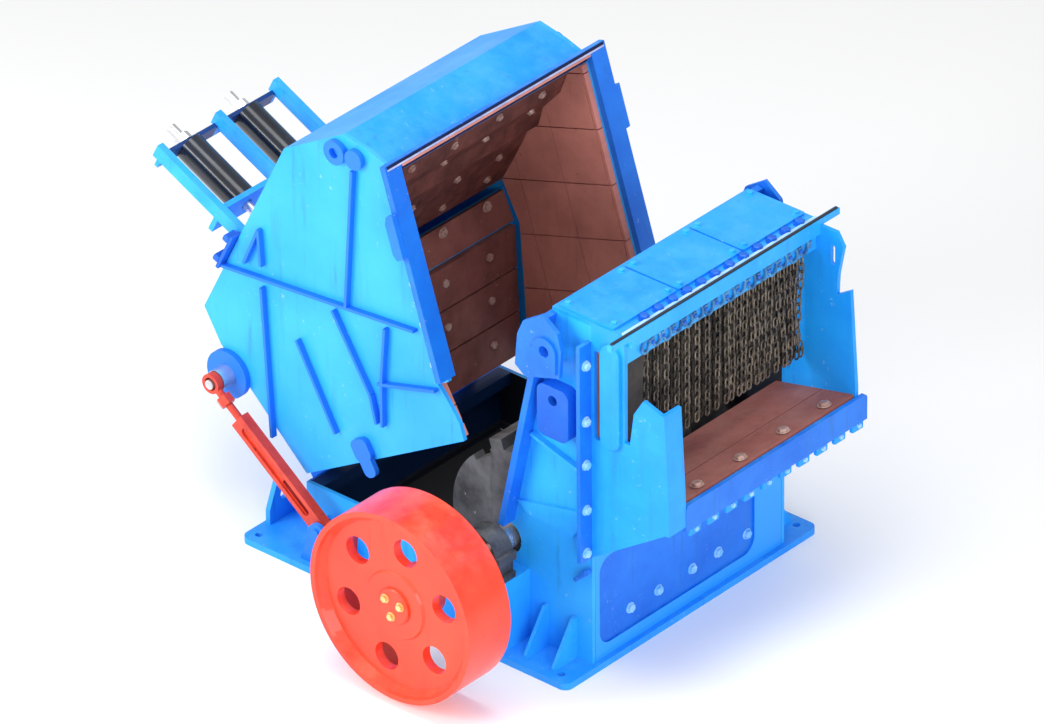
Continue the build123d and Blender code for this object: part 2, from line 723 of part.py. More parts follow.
# Keeper plate, bolted over the end of the shaft
KEEPER_T = 14.0
with BuildPart() as hub_cap:
    with BuildSketch(upright(-web_out - BOSS_T)):
        with Locations((SHAFT_X, SHAFT_Z)):
            Circle(CAP_R)
    extrude(amount=KEEPER_T)
    chamfer(edges().filter_by(GeomType.CIRCLE).group_by(Axis.Y)[0], 5)
save(hub_cap.part, "hub_cap")

# Rear housing
LID_FACE = -SEAM - RIM_T         # front edge of the plates, behind the joint plane
NOSE_Z = LID_TOP - LID_NOSE - 72
top_line = [
    (joint_x(NOSE_Z, LID_FACE), NOSE_Z),
    (514, LID_TOP - 98),
    (403, LID_TOP),
    (SLOPE_X, LID_TOP),
]
slope_line = [(SLOPE_X, LID_TOP), (LID_BACK, SLOPE_Z), (LID_BACK + 2, HEEL_Z), (HEEL_X, BASE_LID)]
roof_line = top_line + slope_line[1:]
lid_outline = [(joint_x(BASE_LID, LID_FACE), BASE_LID)] + roof_line
SWEEP_R = hypot(SHAFT_X - HINGE_X, SHAFT_Z - HINGE_Z) - SHAFT_FREE
SWEEP_TOP = RIM_FOOT - 18.0
LIFT_X = 330.0           # lifting eye at the top of the side plates
LUG_ROUND = 112.0


def lid_side(side):
    """Side plate of the rear housing with its ribs, strut lug, clamping tongue and lifting eye."""
    out = -HALF if side < 0 else HALF + RIB_DEPTH
    with BuildPart() as panel:
        extrude(face(turned(-INNER if side < 0 else HALF), lid_outline), amount=WALL)
        ribs = [
            ((387, 1541), (5, 978)),
            ((-634, 1272), (-12, 981)),
            ((-12, 981), (350, 812)),
            ((-454, 1139), (-778, 491)),
            ((-83, 977), (-71, 584)),
            ((-71, 584), (-108, 454)),
            ((183, 849), (35, 636)),
            ((35, 636), (-81, 437)),
            ((-375, 884), (-382, 448)),
            ((-324, 1386), (-401, 1230)),
            ((-324, 1386), (-496, 1262)),
            ((2, 623), (325, 541)),
        ]
        for a, b in ribs:
            extrude(face(turned(out), bar(a, b, RIB)), amount=RIB_DEPTH)
        # rounded lug of the strut, standing over the back edge
        with BuildSketch(turned(-HALF if side < 0 else HALF + RIB_DEPTH)):
            with Locations((STRUT_LUG_X, STRUT_LUG_Z)):
                Circle(LUG_ROUND)
        extrude(amount=RIB_DEPTH)
        # lifting eye and boss at the top corner
        with BuildSketch(turned(out)):
            with Locations((LIFT_X, LID_TOP - 62)):
                Circle(56)
            with Locations((LIFT_X + 95, LID_TOP - 112)):
                Circle(46)
        extrude(amount=RIB_DEPTH)
        with BuildSketch(turned(out)):
            with Locations((LIFT_X, LID_TOP - 62)):
                Circle(24)
        extrude(amount=RIB_DEPTH, mode=Mode.SUBTRACT)
        # tongue that reaches down outside the base wall
        tongue_y = -HALF if side < 0 else HALF + RIB_DEPTH
        with BuildSketch(turned(tongue_y)):
            with Locations((-266, BASE_LID + 58)):
                RectangleRounded(96, 104, 30)
        extrude(amount=RIB_DEPTH)
        with BuildSketch(turned(tongue_y - (REST if side < 0 else 0))):
            with Locations((-266, BASE_LID - 8)):
                RectangleRounded(70, 120, 30)
        extrude(amount=RIB_DEPTH - REST)
        # front edge set back where the shaft passes as the housing turns
        with BuildSketch(turned(HALF + 300)):
            with Locations((JOINT_X, (BASE_LID + SWEEP_TOP) / 2)):
                Rectangle(400, SWEEP_TOP - BASE_LID + 2)
            with Locations((HINGE_X, HINGE_Z)):
                Circle(SWEEP_R, mode=Mode.SUBTRACT)
        extrude(amount=2 * HALF + 600, mode=Mode.SUBTRACT)
    return panel.part


# Each side is welded from a large plate and a skirt, with the seam at the height of the shaft's recess
seam_at = turned(0).from_local_coords(Vector(0, SWEEP_TOP, 0))
seam = Plane(origin=seam_at, x_dir=(0, 1, 0), z_dir=turned(0).y_dir)
for side, plate_name, skirt_name in ((-1, "rear_near_side", "rear_near_skirt"), (1, "rear_far_side", "rear_far_skirt")):
    whole_side = lid_side(side)
    with BuildPart() as side_plate:
        add(whole_side)
        split(bisect_by=seam, keep=Keep.TOP)
    save(side_plate.part, plate_name)
    with BuildPart() as side_skirt:
        add(whole_side)
        split(bisect_by=seam, keep=Keep.BOTTOM)
    save(side_skirt.part, skirt_name)

with BuildPart() as rear_top_plate:
    extrude(face(turned(INNER), band_part(roof_line, -WALL, 0, 3)), amount=2 * INNER)
save(rear_top_plate.part, "rear_top_plate")

# The rear slope carries the springs, and the tie rods pass through it
SPRING_X = -560.0        # where the springs' axis meets the slope, closed pose
SPRING_Z = LID_TOP - (SLOPE_X - SPRING_X) * (LID_TOP - SLOPE_Z) / (SLOPE_X - LID_BACK)
SLOPE_A = degrees(atan2(LID_TOP - SLOPE_Z, SLOPE_X - LID_BACK))
SPRINGS_Y = (-385.0, -20.0)
ROD_R = 22.0
ROD_FREE = 5.0


def spring_plane(y, up=0.0):
    """Plane across the springs' axis: first axis up the slope, second along Y, normal outwards."""
    a = radians(SLOPE_A)
    x = SPRING_X - sin(a) * up
    z = SPRING_Z + cos(a) * up
    base = turned(y)
    o = base.from_local_coords(Vector(x, z, 0))
    u = base.from_local_coords(Vector(x + cos(a), z + sin(a), 0)) - o
    n = base.from_local_coords(Vector(x - sin(a), z + cos(a), 0)) - o
    return Plane(origin=o, x_dir=u, z_dir=n)


with BuildPart() as rear_back_plate:
    extrude(face(turned(INNER), band_part(roof_line, -WALL, 3, 6)), amount=2 * INNER)
    for y in SPRINGS_Y:
        with BuildSketch(spring_plane(y, 10)):
            Circle(ROD_R + ROD_FREE)
        extrude(amount=-WALL - 20, mode=Mode.SUBTRACT)
save(rear_back_plate.part, "rear_back_plate")

# Flange round the mouth of the rear housing
lid_mouth = turned(0)


def mouth_plane(off):
    """Plane in the turned joint: first axis along Y, second up the joint, normal towards the front."""
    a = radians(LEAN)
    x = joint_x(0, off)
    o = lid_mouth.from_local_coords(Vector(x, 0, 0))
    n = lid_mouth.from_local_coords(Vector(x + cos(a), -sin(a), 0)) - o
    return Plane(origin=o, x_dir=(0, 1, 0), z_dir=n)


MOUTH_TOP = NOSE_Z + 40
BLOCK_FOOT = 1140.0      # clamp blocks on the flange's side edges, below the ears
BLOCK_TOP = 1335.0
BLOCK_OUT = 28.0
BLOCK_DEEP = 26.0        # how far they reach behind the flange
with BuildPart() as rear_front_rim:
    with BuildSketch(mouth_plane(-SEAM)):
        foot = up_joint(RIM_FOOT)
        top = up_joint(MOUTH_TOP)
        with Locations((0, (foot + top) / 2)):
            Rectangle(2 * (HALF + RIM), top - foot)
        with Locations((0, (foot + top) / 2 - 35)):
            Rectangle(2 * INNER, top - foot, mode=Mode.SUBTRACT)
    extrude(amount=-RIM_T)
    block = [
        (joint_x(z, off), z)
        for z, off in (
            (BLOCK_FOOT, -SEAM - 2),
            (BLOCK_TOP, -SEAM - 2),
            (BLOCK_TOP, -SEAM - RIM_T - BLOCK_DEEP + 16),
            (BLOCK_TOP - 30, -SEAM - RIM_T - BLOCK_DEEP),
            (BLOCK_FOOT + 30, -SEAM - RIM_T - BLOCK_DEEP),
            (BLOCK_FOOT, -SEAM - RIM_T - BLOCK_DEEP + 16),
        )
    ]
    for y in (-HALF - RIM, HALF + RIM + BLOCK_OUT):
        extrude(face(turned(y), block), amount=BLOCK_OUT)
save(rear_front_rim.part, "rear_front_rim")

# Inclined back wall of the crushing chamber with four rows of wear plates
wall_line = [(-180.0, 1030.0), (-198.0, 870.0), (-490.0, BASE_LID + 8)]
backing = band(wall_line, LINER)[len(wall_line):][::-1]
with BuildPart() as back_wall:
    extrude(face(turned(INNER), band(backing, WALL)), amount=2 * INNER)
save(back_wall.part, "back_wall")


def along(a, b, t):
    return (a[0] + (b[0] - a[0]) * t, a[1] + (b[1] - a[1]) * t)


BACK_ROWS = 3
with BuildPart() as back_liners:
    low = hypot(wall_line[2][0] - wall_line[1][0], wall_line[2][1] - wall_line[1][1])
    gap = GROOVE / low
    runs = [(wall_line[0], along(wall_line[1], wall_line[0], 0.12))]
    for i in range(BACK_ROWS):
        a = along(wall_line[1], wall_line[2], i / BACK_ROWS + gap)
        b = along(wall_line[1], wall_line[2], (i + 1) / BACK_ROWS - gap)
        runs.append((a, b))
    for a, b in runs:
        extrude(face(turned(CLEAR - 2), band([a, b], LINER)), amount=2 * CLEAR - 4)
save(back_liners.part, "back_liners")

# Square wear plates on both side walls of the rear housing
liner_area = [
    (-440, BASE_LID + 12),
    (330, BASE_LID + 12),
    (330, SWEEP_TOP),
    (joint_x(SWEEP_TOP + 20, LID_FACE - 12), SWEEP_TOP + 20),
    (joint_x(NOSE_Z - 20, LID_FACE - 12), NOSE_Z - 20),
    (500, LID_TOP - 128),
    (392, LID_TOP - WALL - 6),
    (40, LID_TOP - WALL - 6),
    (-150, 1560),
    (-170, 870),
]
PLATE = 262.0
APRON_X = 452.0          # apron's cross shaft, closed pose
APRON_Z = 1540.0
APRON_R = 29.0


def side_liners(y):
    with BuildPart() as liners:
        with BuildSketch(turned(y)):
            with BuildLine():
                Polyline(*liner_area, close=True)
            make_face()
            for i in range(-3, 4):
                with Locations(Location((joint_x(1000, -330 + i * PLATE), 1000), -LEAN)):
                    Rectangle(GROOVE, 2400, mode=Mode.SUBTRACT)
            for i in range(-3, 4):
                with Locations(Location((joint_x(1000, -330), 1000 + i * PLATE), -LEAN)):
                    Rectangle(2400, GROOVE, mode=Mode.SUBTRACT)
            with Locations((APRON_X, APRON_Z)):
                Circle(APRON_R + 4, mode=Mode.SUBTRACT)
        extrude(amount=LINER)
    return liners.part


save(side_liners(INNER), "far_side_liners")
save(side_liners(-CLEAR), "near_side_liners")

# Impact apron, hung from a cross shaft behind the top of the mouth
APRON_HALF = CLEAR - 12
apron_face = [(520, 1478), (414, 1391), (274, 1344), (201, 1273), (134, 1265), (-20, 1161), (-150, 1080)]
ARM_T = 26.0
ARM_PIN = 14.0
a_slope = radians(SLOPE_A)
ROD_DOWN = 262.0         # rod's lower eye, below the slope along the springs' axis
EYE_X = SPRING_X + sin(a_slope) * ROD_DOWN
EYE_Z = SPRING_Z - cos(a_slope) * ROD_DOWN
with BuildPart() as impact_apron:
    with BuildSketch(turned(APRON_HALF)):
        with BuildLine():
            Polyline(*(apron_face + [(-176, 1122), (-60, 1210), (120, 1330), (250, 1408), (372, 1496), (410, 1560)]), close=True)
        make_face()
        with Locations((APRON_X, APRON_Z)):
            Circle(APRON_R + 29)
            Circle(APRON_R + FIT, mode=Mode.SUBTRACT)
    extrude(amount=2 * APRON_HALF)
    for y in SPRINGS_Y:
        top = y - 20
        with BuildSketch(turned(top)):
            with BuildLine():
                Polyline((-150, 1110), (-100, 1190), (EYE_X, EYE_Z + 30), (EYE_X, EYE_Z - 30), (-174, 1096), close=True)
            make_face()
            with Locations((EYE_X, EYE_Z)):
                Circle(30)
        extrude(amount=ARM_T)
        with BuildSketch(turned(y + 16)):
            with Locations((EYE_X, EYE_Z)):
                Circle(ARM_PIN)
        extrude(amount=36)
save(impact_apron.part, "impact_apron")

with BuildPart() as apron_shaft:
    with BuildSketch(turned(INNER)):
        with Locations((APRON_X, APRON_Z)):
            Circle(APRON_R)
    extrude(amount=2 * INNER)
save(apron_shaft.part, "apron_shaft")

# Spring units: three posts, a seat, two sleeves and a crossbar
POSTS_Y = (-570.0, -203.0, 164.0)
POST_W = 66.0
POST_T = 34.0
POST_H = 552.0
SEAT_UP = 150.0
SEAT_W = 150.0
SLEEVE_R = 68.0
SLEEVE_H = 340.0
BAR_UP = SEAT_UP + 24 + SLEEVE_H
SPRING_MID = (POSTS_Y[0] + POSTS_Y[2]) / 2
SPRING_SPAN = POSTS_Y[2] - POSTS_Y[0]
with BuildPart() as spring_frame:
    for y in POSTS_Y:
        with BuildSketch(spring_plane(y, 0)):
            with Locations((52, 0)):
                Rectangle(POST_W, POST_T)
        extrude(amount=POST_H)
    with BuildSketch(spring_plane(SPRING_MID, SEAT_UP)):
        Rectangle(SEAT_W, SPRING_SPAN)
        with Locations(*[(0, y - SPRING_MID) for y in SPRINGS_Y]):
            Circle(ROD_R + ROD_FREE, mode=Mode.SUBTRACT)
    extrude(amount=24)
    with BuildSketch(spring_plane(SPRING_MID, BAR_UP)):
        Rectangle(70, SPRING_SPAN)
        with Locations(*[(0, y - SPRING_MID) for y in SPRINGS_Y]):
            Circle(ROD_R + ROD_FREE, mode=Mode.SUBTRACT)
    extrude(amount=20)
save(spring_frame.part, "spring_frame")

with BuildPart() as spring_sleeves:
    for y in SPRINGS_Y:
        with BuildSketch(spring_plane(y, SEAT_UP + 24)):
            Circle(SLEEVE_R)
            Circle(ROD_R + ROD_FREE, mode=Mode.SUBTRACT)
        extrude(amount=SLEEVE_H)
save(spring_sleeves.part, "spring_sleeves")

NUT_R = 40.0
NUT_T = 36.0
with BuildPart() as tie_rods:
    for y in SPRINGS_Y:
        with BuildSketch(spring_plane(y, -ROD_DOWN + 34)):
            Circle(ROD_R)
        extrude(amount=ROD_DOWN - 34 + BAR_UP + 20 + NUT_T + 60)
        with BuildSketch(spring_plane(y, BAR_UP + 20.5)):
            RegularPolygon(NUT_R, 6)
        extrude(amount=NUT_T)
        # eye that takes the apron's pin with room for its swing
        with BuildSketch(turned(y + 11)):
            with Locations((EYE_X, EYE_Z)):
                Circle(40)
                Circle(ARM_PIN + 9, mode=Mode.SUBTRACT)
        extrude(amount=22)
save(tie_rods.part, "tie_rods")

# Hinge knuckles on the heel of the rear housing
with BuildPart() as rear_knuckles:
    for y in (-HINGE_Y, HINGE_Y):
        with BuildSketch(turned(y + KNUCKLE_W / 2)):
            with BuildLine():
                k0 = along(slope_line[3], slope_line[2], 0.015)
                k1 = along(slope_line[3], slope_line[2], 0.26)
                Polyline(k0, k1, (HINGE_X - 40, HINGE_Z + 20), (HINGE_X, HINGE_Z - 40), close=True)
            make_face()
            with Locations((HINGE_X, HINGE_Z)):
                Circle(EAR_R)
                Circle(PIN_R + FIT, mode=Mode.SUBTRACT)
        extrude(amount=KNUCKLE_W)
save(rear_knuckles.part, "rear_knuckles")

# Turn-over strut: screw tube on the foot bracket, rod with a hooked eye at the housing's lug
strut_top = turned(0).from_local_coords(Vector(STRUT_LUG_X, STRUT_LUG_Z, 0))
STRUT_LEN = hypot(strut_top.X - STRUT_FOOT_X, strut_top.Z - STRUT_FOOT_Z)
STRUT_A = degrees(atan2(strut_top.Z - STRUT_FOOT_Z, strut_top.X - STRUT_FOOT_X))
TUBE_LEN = 594.0
SCREW_R = 17.0


def strut_plane(y):
    """Plane beside the strut: first axis from its foot to its top."""
    a = radians(STRUT_A)
    return Plane(origin=(STRUT_FOOT_X, y, STRUT_FOOT_Z), x_dir=(cos(a), 0, sin(a)), z_dir=(0, -1, 0))


def strut_section(at):
    a = radians(STRUT_A)
    o = (STRUT_FOOT_X + cos(a) * at, -STRUT_Y, STRUT_FOOT_Z + sin(a) * at)
    return Plane(origin=o, x_dir=(0, 1, 0), z_dir=(cos(a), 0, sin(a)))


with BuildPart() as strut_tube:
    with BuildSketch(strut_plane(-STRUT_Y + STRUT_T / 2)):
        with BuildLine():
            Polyline((0, -STRUT_W / 2), (TUBE_LEN, -STRUT_W / 2), (TUBE_LEN, STRUT_W / 2), (0, STRUT_W / 2), close=True)
        make_face()
        Circle(STRUT_W / 2)
        Circle(STRUT_PIN + FIT, mode=Mode.SUBTRACT)
    extrude(amount=STRUT_T)
    # the channel is open on both faces, beside the screw
    with BuildSketch(strut_plane(-STRUT_Y + STRUT_T / 2)):
        with Locations((TUBE_LEN / 2 + 20, 0)):
            SlotOverall(TUBE_LEN - 130, STRUT_W - 44)
    extrude(amount=11, mode=Mode.SUBTRACT)
    with BuildSketch(strut_plane(-STRUT_Y - STRUT_T / 2)):
        with Locations((TUBE_LEN / 2 + 20, 0)):
            SlotOverall(TUBE_LEN - 130, STRUT_W - 44)
    extrude(amount=-11, mode=Mode.SUBTRACT)
    with BuildSketch(strut_section(90)):
        Circle(SCREW_R + FIT)
    extrude(amount=TUBE_LEN, mode=Mode.SUBTRACT)
save(strut_tube.part, "strut_tube")

EYE_R = 46.0
LUG_PIN = 22.0
with BuildPart() as strut_rod:
    with BuildSketch(strut_section(STRUT_LEN - 520)):
        Circle(SCREW_R)
    extrude(amount=520 - 40)
    with BuildSketch(strut_plane(-STRUT_Y + 16)):
        with Locations((STRUT_LEN, 0)):
            Circle(EYE_R)
            Circle(LUG_PIN + 9, mode=Mode.SUBTRACT)
    extrude(amount=32)
    with BuildSketch(strut_section(STRUT_LEN - 116)):
        RegularPolygon(36, 6)
    extrude(amount=44)
save(strut_rod.part, "strut_rod")

with BuildPart() as strut_pin:
    with BuildSketch(turned(-HALF - RIB_DEPTH)):
        with Locations((STRUT_LUG_X, STRUT_LUG_Z)):
            Circle(LUG_PIN + 26)
    extrude(amount=STRUT_Y - 16 - 5 - HALF - RIB_DEPTH)
    with BuildSketch(turned(-HALF - RIB_DEPTH)):
        with Locations((STRUT_LUG_X, STRUT_LUG_Z)):
            Circle(LUG_PIN)
    extrude(amount=STRUT_Y + 24 - HALF - RIB_DEPTH)
save(strut_pin.part, "strut_pin")
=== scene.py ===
# %% [markdown]
# An impact crusher breaks stone with bars on a heavy rotor. This lesson dresses a ready-made solid model of one,
# seen with its rear housing turned open. The solids come from a CAD file and stay as they are. What is made here is
# the finish: paint, castings, bolts, chains and light.

# %% Load the solid model
import bpy
import bmesh
import json
import math
from mathutils import Matrix, Vector, noise


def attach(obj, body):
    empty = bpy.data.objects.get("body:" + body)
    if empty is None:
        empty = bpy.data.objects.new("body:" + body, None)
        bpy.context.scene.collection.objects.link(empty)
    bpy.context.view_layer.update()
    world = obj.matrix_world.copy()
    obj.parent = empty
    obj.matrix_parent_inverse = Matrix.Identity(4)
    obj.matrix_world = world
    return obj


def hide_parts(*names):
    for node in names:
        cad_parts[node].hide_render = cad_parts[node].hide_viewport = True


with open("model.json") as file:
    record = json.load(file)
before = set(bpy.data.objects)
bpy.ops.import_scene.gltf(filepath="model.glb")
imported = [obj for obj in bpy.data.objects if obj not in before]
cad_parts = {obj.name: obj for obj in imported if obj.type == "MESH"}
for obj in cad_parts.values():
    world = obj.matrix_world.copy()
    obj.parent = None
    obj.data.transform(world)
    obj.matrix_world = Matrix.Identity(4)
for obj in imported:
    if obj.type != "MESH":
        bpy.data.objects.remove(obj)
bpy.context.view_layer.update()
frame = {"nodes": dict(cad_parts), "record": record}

# %% [markdown]
# The camera comes first, because every later choice is judged through it. The photograph looks down on the machine
# from its front left corner, with nearly parallel edges, so a long lens far away is the right choice.

# %% Camera
AZIMUTH = math.radians(41.1)
ELEVATION = math.radians(31.25)
ROLL = math.radians(-0.5)
DISTANCE = 46.0
PIXELS_PER_METRE = 244.7
PICTURE_WIDTH = 1044.0
SENSOR_WIDTH = 36.0
AIM = Vector((0.886, -1.044, 1.700))

back = Vector((
    math.sin(AZIMUTH) * math.cos(ELEVATION),
    -math.cos(AZIMUTH) * math.cos(ELEVATION),
    math.sin(ELEVATION),
))
lens = bpy.data.cameras.new("long_lens")
lens.sensor_width = SENSOR_WIDTH
lens.lens = PIXELS_PER_METRE * DISTANCE * SENSOR_WIDTH / PICTURE_WIDTH
lens.clip_end = 200.0
camera = bpy.data.objects.new("camera", lens)
turn = back.to_track_quat("Z", "Y").to_matrix().to_4x4()
stand_at = Matrix.Translation(AIM + back * DISTANCE)
camera.matrix_world = stand_at @ turn @ Matrix.Rotation(ROLL, 4, "Z")
bpy.context.collection.objects.link(camera)
bpy.context.scene.camera = camera
print("lens in mm:", round(lens.lens, 1))

# %% [markdown]
# A product picture wants an even, pale surround. A large floor catches a soft shadow. It glows very faintly, so that
# it stays nearly white.

# %% Floor
def floor_sheet(name, matrix, paint_name, colour, glow=0.0):
    """A flat sheet of one square metre, moved and scaled by a matrix, with a matt paint of its own."""
    mesh = bmesh.new()
    bmesh.ops.create_grid(mesh, x_segments=1, y_segments=1, size=0.5, matrix=matrix)
    data = bpy.data.meshes.new(name)
    mesh.to_mesh(data)
    mesh.free()
    sheet = bpy.data.objects.new(name, data)
    bpy.context.collection.objects.link(sheet)
    matt = bpy.data.materials.new(paint_name)
    matt.use_nodes = True
    skin = matt.node_tree.nodes["Principled BSDF"].inputs
    skin["Base Color"].default_value = (*colour, 1)
    skin["Roughness"].default_value = 0.95
    skin["Emission Color"].default_value = (1, 1, 1, 1)
    skin["Emission Strength"].default_value = glow
    data.materials.append(matt)
    return sheet


FLOOR_SIDE = 120.0
floor = floor_sheet("studio_floor", Matrix.Diagonal((FLOOR_SIDE, FLOOR_SIDE, 1, 1)), "pale_floor",
                     (0.93, 0.93, 0.93), glow=0.06)

# %% [markdown]
# It is in shade below the open base. A near-black patch of floor paints that shade, and nothing of it shows beside the
# machine.

# %% Painted shade under the base
SHADE_SHEET_PLACE = (0.10, 0, 0.003)
SHADE_SHEET_SIDES = (1.52, 1.16, 1, 1)
# A near-black sheet on the floor paints the shade inside the base.
shade_sheet = floor_sheet("painted_shade_under_base", Matrix.Translation(SHADE_SHEET_PLACE) @ Matrix.Diagonal(SHADE_SHEET_SIDES), "painted_shade_ground",
                   (0.02, 0.021, 0.024))

# %% [markdown]
# A white sky fills from all sides. Three area lamps give the side walls, the top and the front their different
# brightness. The plain view transform keeps the bright paint as strong as it is in the photograph.

# %% Sky and lamps
sky = bpy.data.worlds.new("studio_sky")
bpy.context.scene.world = sky
sky.use_nodes = True
sky.node_tree.nodes["Background"].inputs["Color"].default_value = (1.0, 1.0, 1.0, 1)
sky.node_tree.nodes["Background"].inputs["Strength"].default_value = 0.62
bpy.context.scene.view_settings.view_transform = "Standard"


LAMP_SIDE = 4.0


def area_lamp(name, place, target, power):
    """A square lamp that looks at a target point."""
    data = bpy.data.lights.new(name, "AREA")
    data.size = LAMP_SIDE
    data.energy = power
    lamp = bpy.data.objects.new(name, data)
    aim = (Vector(place) - Vector(target)).to_track_quat("Z", "Y").to_matrix().to_4x4()
    lamp.matrix_world = Matrix.Translation(Vector(place)) @ aim
    bpy.context.collection.objects.link(lamp)
    return lamp


area_lamp("side_lamp", (-3.0, -7.5, 4.5), (0, -0.4, 0.9), 520)
area_lamp("top_lamp", (1.0, -1.0, 8.0), (0, 0, 0.9), 250)
area_lamp("front_lamp", (6.6, -4.6, 3.0), (0.4, 0, 1.0), 290)
print("lamps ready")

# %% [markdown]
# Places on the rear housing are easiest to measure with the housing closed, but it stands open here, thirty degrees
# back about its hinge. Two small helpers turn closed places and directions to open ones.

# %% Positions on the turned housing
HINGE = (-0.758, 0.299)
OPEN_ANGLE = math.radians(30)
SPRING_SEAT = (-0.560, 0.0, 1.3212)


def opened(x, y, z):
    """The open place of a point that was measured on the closed housing."""
    dx, dz = x - HINGE[0], z - HINGE[1]
    c, s = math.cos(OPEN_ANGLE), math.sin(OPEN_ANGLE)
    return Vector((HINGE[0] + dx * c - dz * s, y, HINGE[1] + dx * s + dz * c))


def opened_way(x, z):
    """The open direction of a direction in the closed housing's side view."""
    c, s = math.cos(OPEN_ANGLE), math.sin(OPEN_ANGLE)
    return Vector((x * c - z * s, 0, x * s + z * c)).normalized()


print("open rim corner:", [round(v, 3) for v in opened(0.59, 0, 1.24)])

# %% [markdown]
# Several finishes share three effects. Each is built once as a node group with named inputs and placed in every
# material with its own values. The first is a soft drift between two shades, as on sprayed paint and castings.

# %% Shared effect: cloudy shade
def new_group(name, inputs, outputs):
    """Start a node group from lists of (label, kind) and return it with its two end nodes."""
    kinds = {"colour": "NodeSocketColor", "number": "NodeSocketFloat"}
    group = bpy.data.node_groups.new(name, "ShaderNodeTree")
    for way, sockets in (("INPUT", inputs), ("OUTPUT", outputs)):
        for label, kind in sockets:
            group.interface.new_socket(name=label, in_out=way, socket_type=kinds[kind])
    return group, group.nodes.new("NodeGroupInput"), group.nodes.new("NodeGroupOutput")


def ramp(group, source, low, high, out_low=0.0, out_high=1.0):
    """A clamped straight ramp from one range of numbers to another."""
    node = group.nodes.new("ShaderNodeMapRange")
    node.inputs["From Min"].default_value = low
    node.inputs["From Max"].default_value = high
    node.inputs["To Min"].default_value = out_low
    node.inputs["To Max"].default_value = out_high
    group.links.new(source, node.inputs["Value"])
    return node.outputs["Result"]


def times(group, a, b, sum_of=False):
    """Multiply two numbers, or add them, where b may be a plain value."""
    node = group.nodes.new("ShaderNodeMath")
    node.operation = "ADD" if sum_of else "MULTIPLY"
    node.use_clamp = True
    group.links.new(a, node.inputs[0])
    if isinstance(b, (int, float)):
        node.inputs[1].default_value = b
    else:
        group.links.new(b, node.inputs[1])
    return node.outputs["Value"]


def minus(group, a, b):
    """The difference of two numbers, which may be negative."""
    node = group.nodes.new("ShaderNodeMath")
    node.operation = "SUBTRACT"
    group.links.new(a, node.inputs[0])
    group.links.new(b, node.inputs[1])
    return node.outputs["Value"]


def noise_of(group, vector, scale, detail=4.0, roughness=0.6):
    """A noise texture on a vector; the scale may be a socket or a number."""
    node = group.nodes.new("ShaderNodeTexNoise")
    node.inputs["Detail"].default_value = detail
    node.inputs["Roughness"].default_value = roughness
    group.links.new(vector, node.inputs["Vector"])
    if isinstance(scale, (int, float)):
        node.inputs["Scale"].default_value = scale
    else:
        group.links.new(scale, node.inputs["Scale"])
    return node.outputs["Fac"]


def blend_colours(group, factor, a, b):
    """Mix two colours by a factor; either colour may be a socket or a plain colour."""
    node = group.nodes.new("ShaderNodeMix")
    node.data_type = "RGBA"
    group.links.new(factor, node.inputs["Factor"])
    for label, colour in (("A", a), ("B", b)):
        if isinstance(colour, tuple):
            node.inputs[label].default_value = (*colour, 1)
        else:
            group.links.new(colour, node.inputs[label])
    return node.outputs["Result"]


cloudy_shade, given, out = new_group(
    "cloudy_shade",
    [("Light", "colour"), ("Dark", "colour"), ("Size", "number"), ("Grain Size", "number"), ("Contrast", "number")],
    [("Color", "colour"), ("Shade", "number"), ("Height", "number")])
place = cloudy_shade.nodes.new("ShaderNodeTexCoord").outputs["Object"]
cloud = ramp(cloudy_shade, noise_of(cloudy_shade, place, given.outputs["Size"], 4.0, 0.62), 0.32, 0.68)
shade = times(cloudy_shade, cloud, given.outputs["Contrast"])
cloudy_shade.links.new(blend_colours(cloudy_shade, shade, given.outputs["Light"], given.outputs["Dark"]),
                       out.inputs["Color"])
cloudy_shade.links.new(shade, out.inputs["Shade"])
cloudy_shade.links.new(noise_of(cloudy_shade, place, given.outputs["Grain Size"], 3.0, 0.5), out.inputs["Height"])
print("cloudy_shade has", len(cloudy_shade.nodes), "nodes")

# %% [markdown]
# The second effect is wear: scattered small chips, streaks that run down, and dust that settles only where a surface
# looks upward.

# %% Shared effect: wear
worn_surface, given, out = new_group(
    "worn_surface",
    [("Color", "colour"), ("Chip Color", "colour"), ("Chips", "number"), ("Streak Color", "colour"),
     ("Streaks", "number"), ("Dust Color", "colour"), ("Dust", "number")],
    [("Color", "colour"), ("Worn", "number")])
coords = worn_surface.nodes.new("ShaderNodeTexCoord")
patchy = noise_of(worn_surface, coords.outputs["Object"], 3.1, 3.0)
chip = ramp(worn_surface, noise_of(worn_surface, coords.outputs["Object"], 34.0, 6.0, 0.72), 0.63, 0.66)
chip = times(worn_surface, times(worn_surface, chip, ramp(worn_surface, patchy, 0.45, 0.62)), given.outputs["Chips"])
long_way = worn_surface.nodes.new("ShaderNodeMapping")
long_way.inputs["Scale"].default_value = (26.0, 26.0, 1.7)
worn_surface.links.new(coords.outputs["Object"], long_way.inputs["Vector"])
run = ramp(worn_surface, noise_of(worn_surface, long_way.outputs["Vector"], 1.0, 5.0, 0.7), 0.55, 0.72)
run = times(worn_surface, times(worn_surface, run, ramp(worn_surface, patchy, 0.66, 0.40)), given.outputs["Streaks"])
facing = worn_surface.nodes.new("ShaderNodeSeparateXYZ")
worn_surface.links.new(coords.outputs["Normal"], facing.inputs["Vector"])
settled = ramp(worn_surface, noise_of(worn_surface, coords.outputs["Object"], 7.0, 5.0, 0.66), 0.42, 0.66)
settled = times(worn_surface, times(worn_surface, settled, ramp(worn_surface, facing.outputs["Z"], 0.35, 0.9)),
                given.outputs["Dust"])
painted = blend_colours(worn_surface, run, given.outputs["Color"], given.outputs["Streak Color"])
painted = blend_colours(worn_surface, settled, painted, given.outputs["Dust Color"])
worn_surface.links.new(blend_colours(worn_surface, chip, painted, given.outputs["Chip Color"]), out.inputs["Color"])
worn_surface.links.new(times(worn_surface, chip, settled, sum_of=True), out.inputs["Worn"])
print("worn_surface has", len(worn_surface.nodes), "nodes")
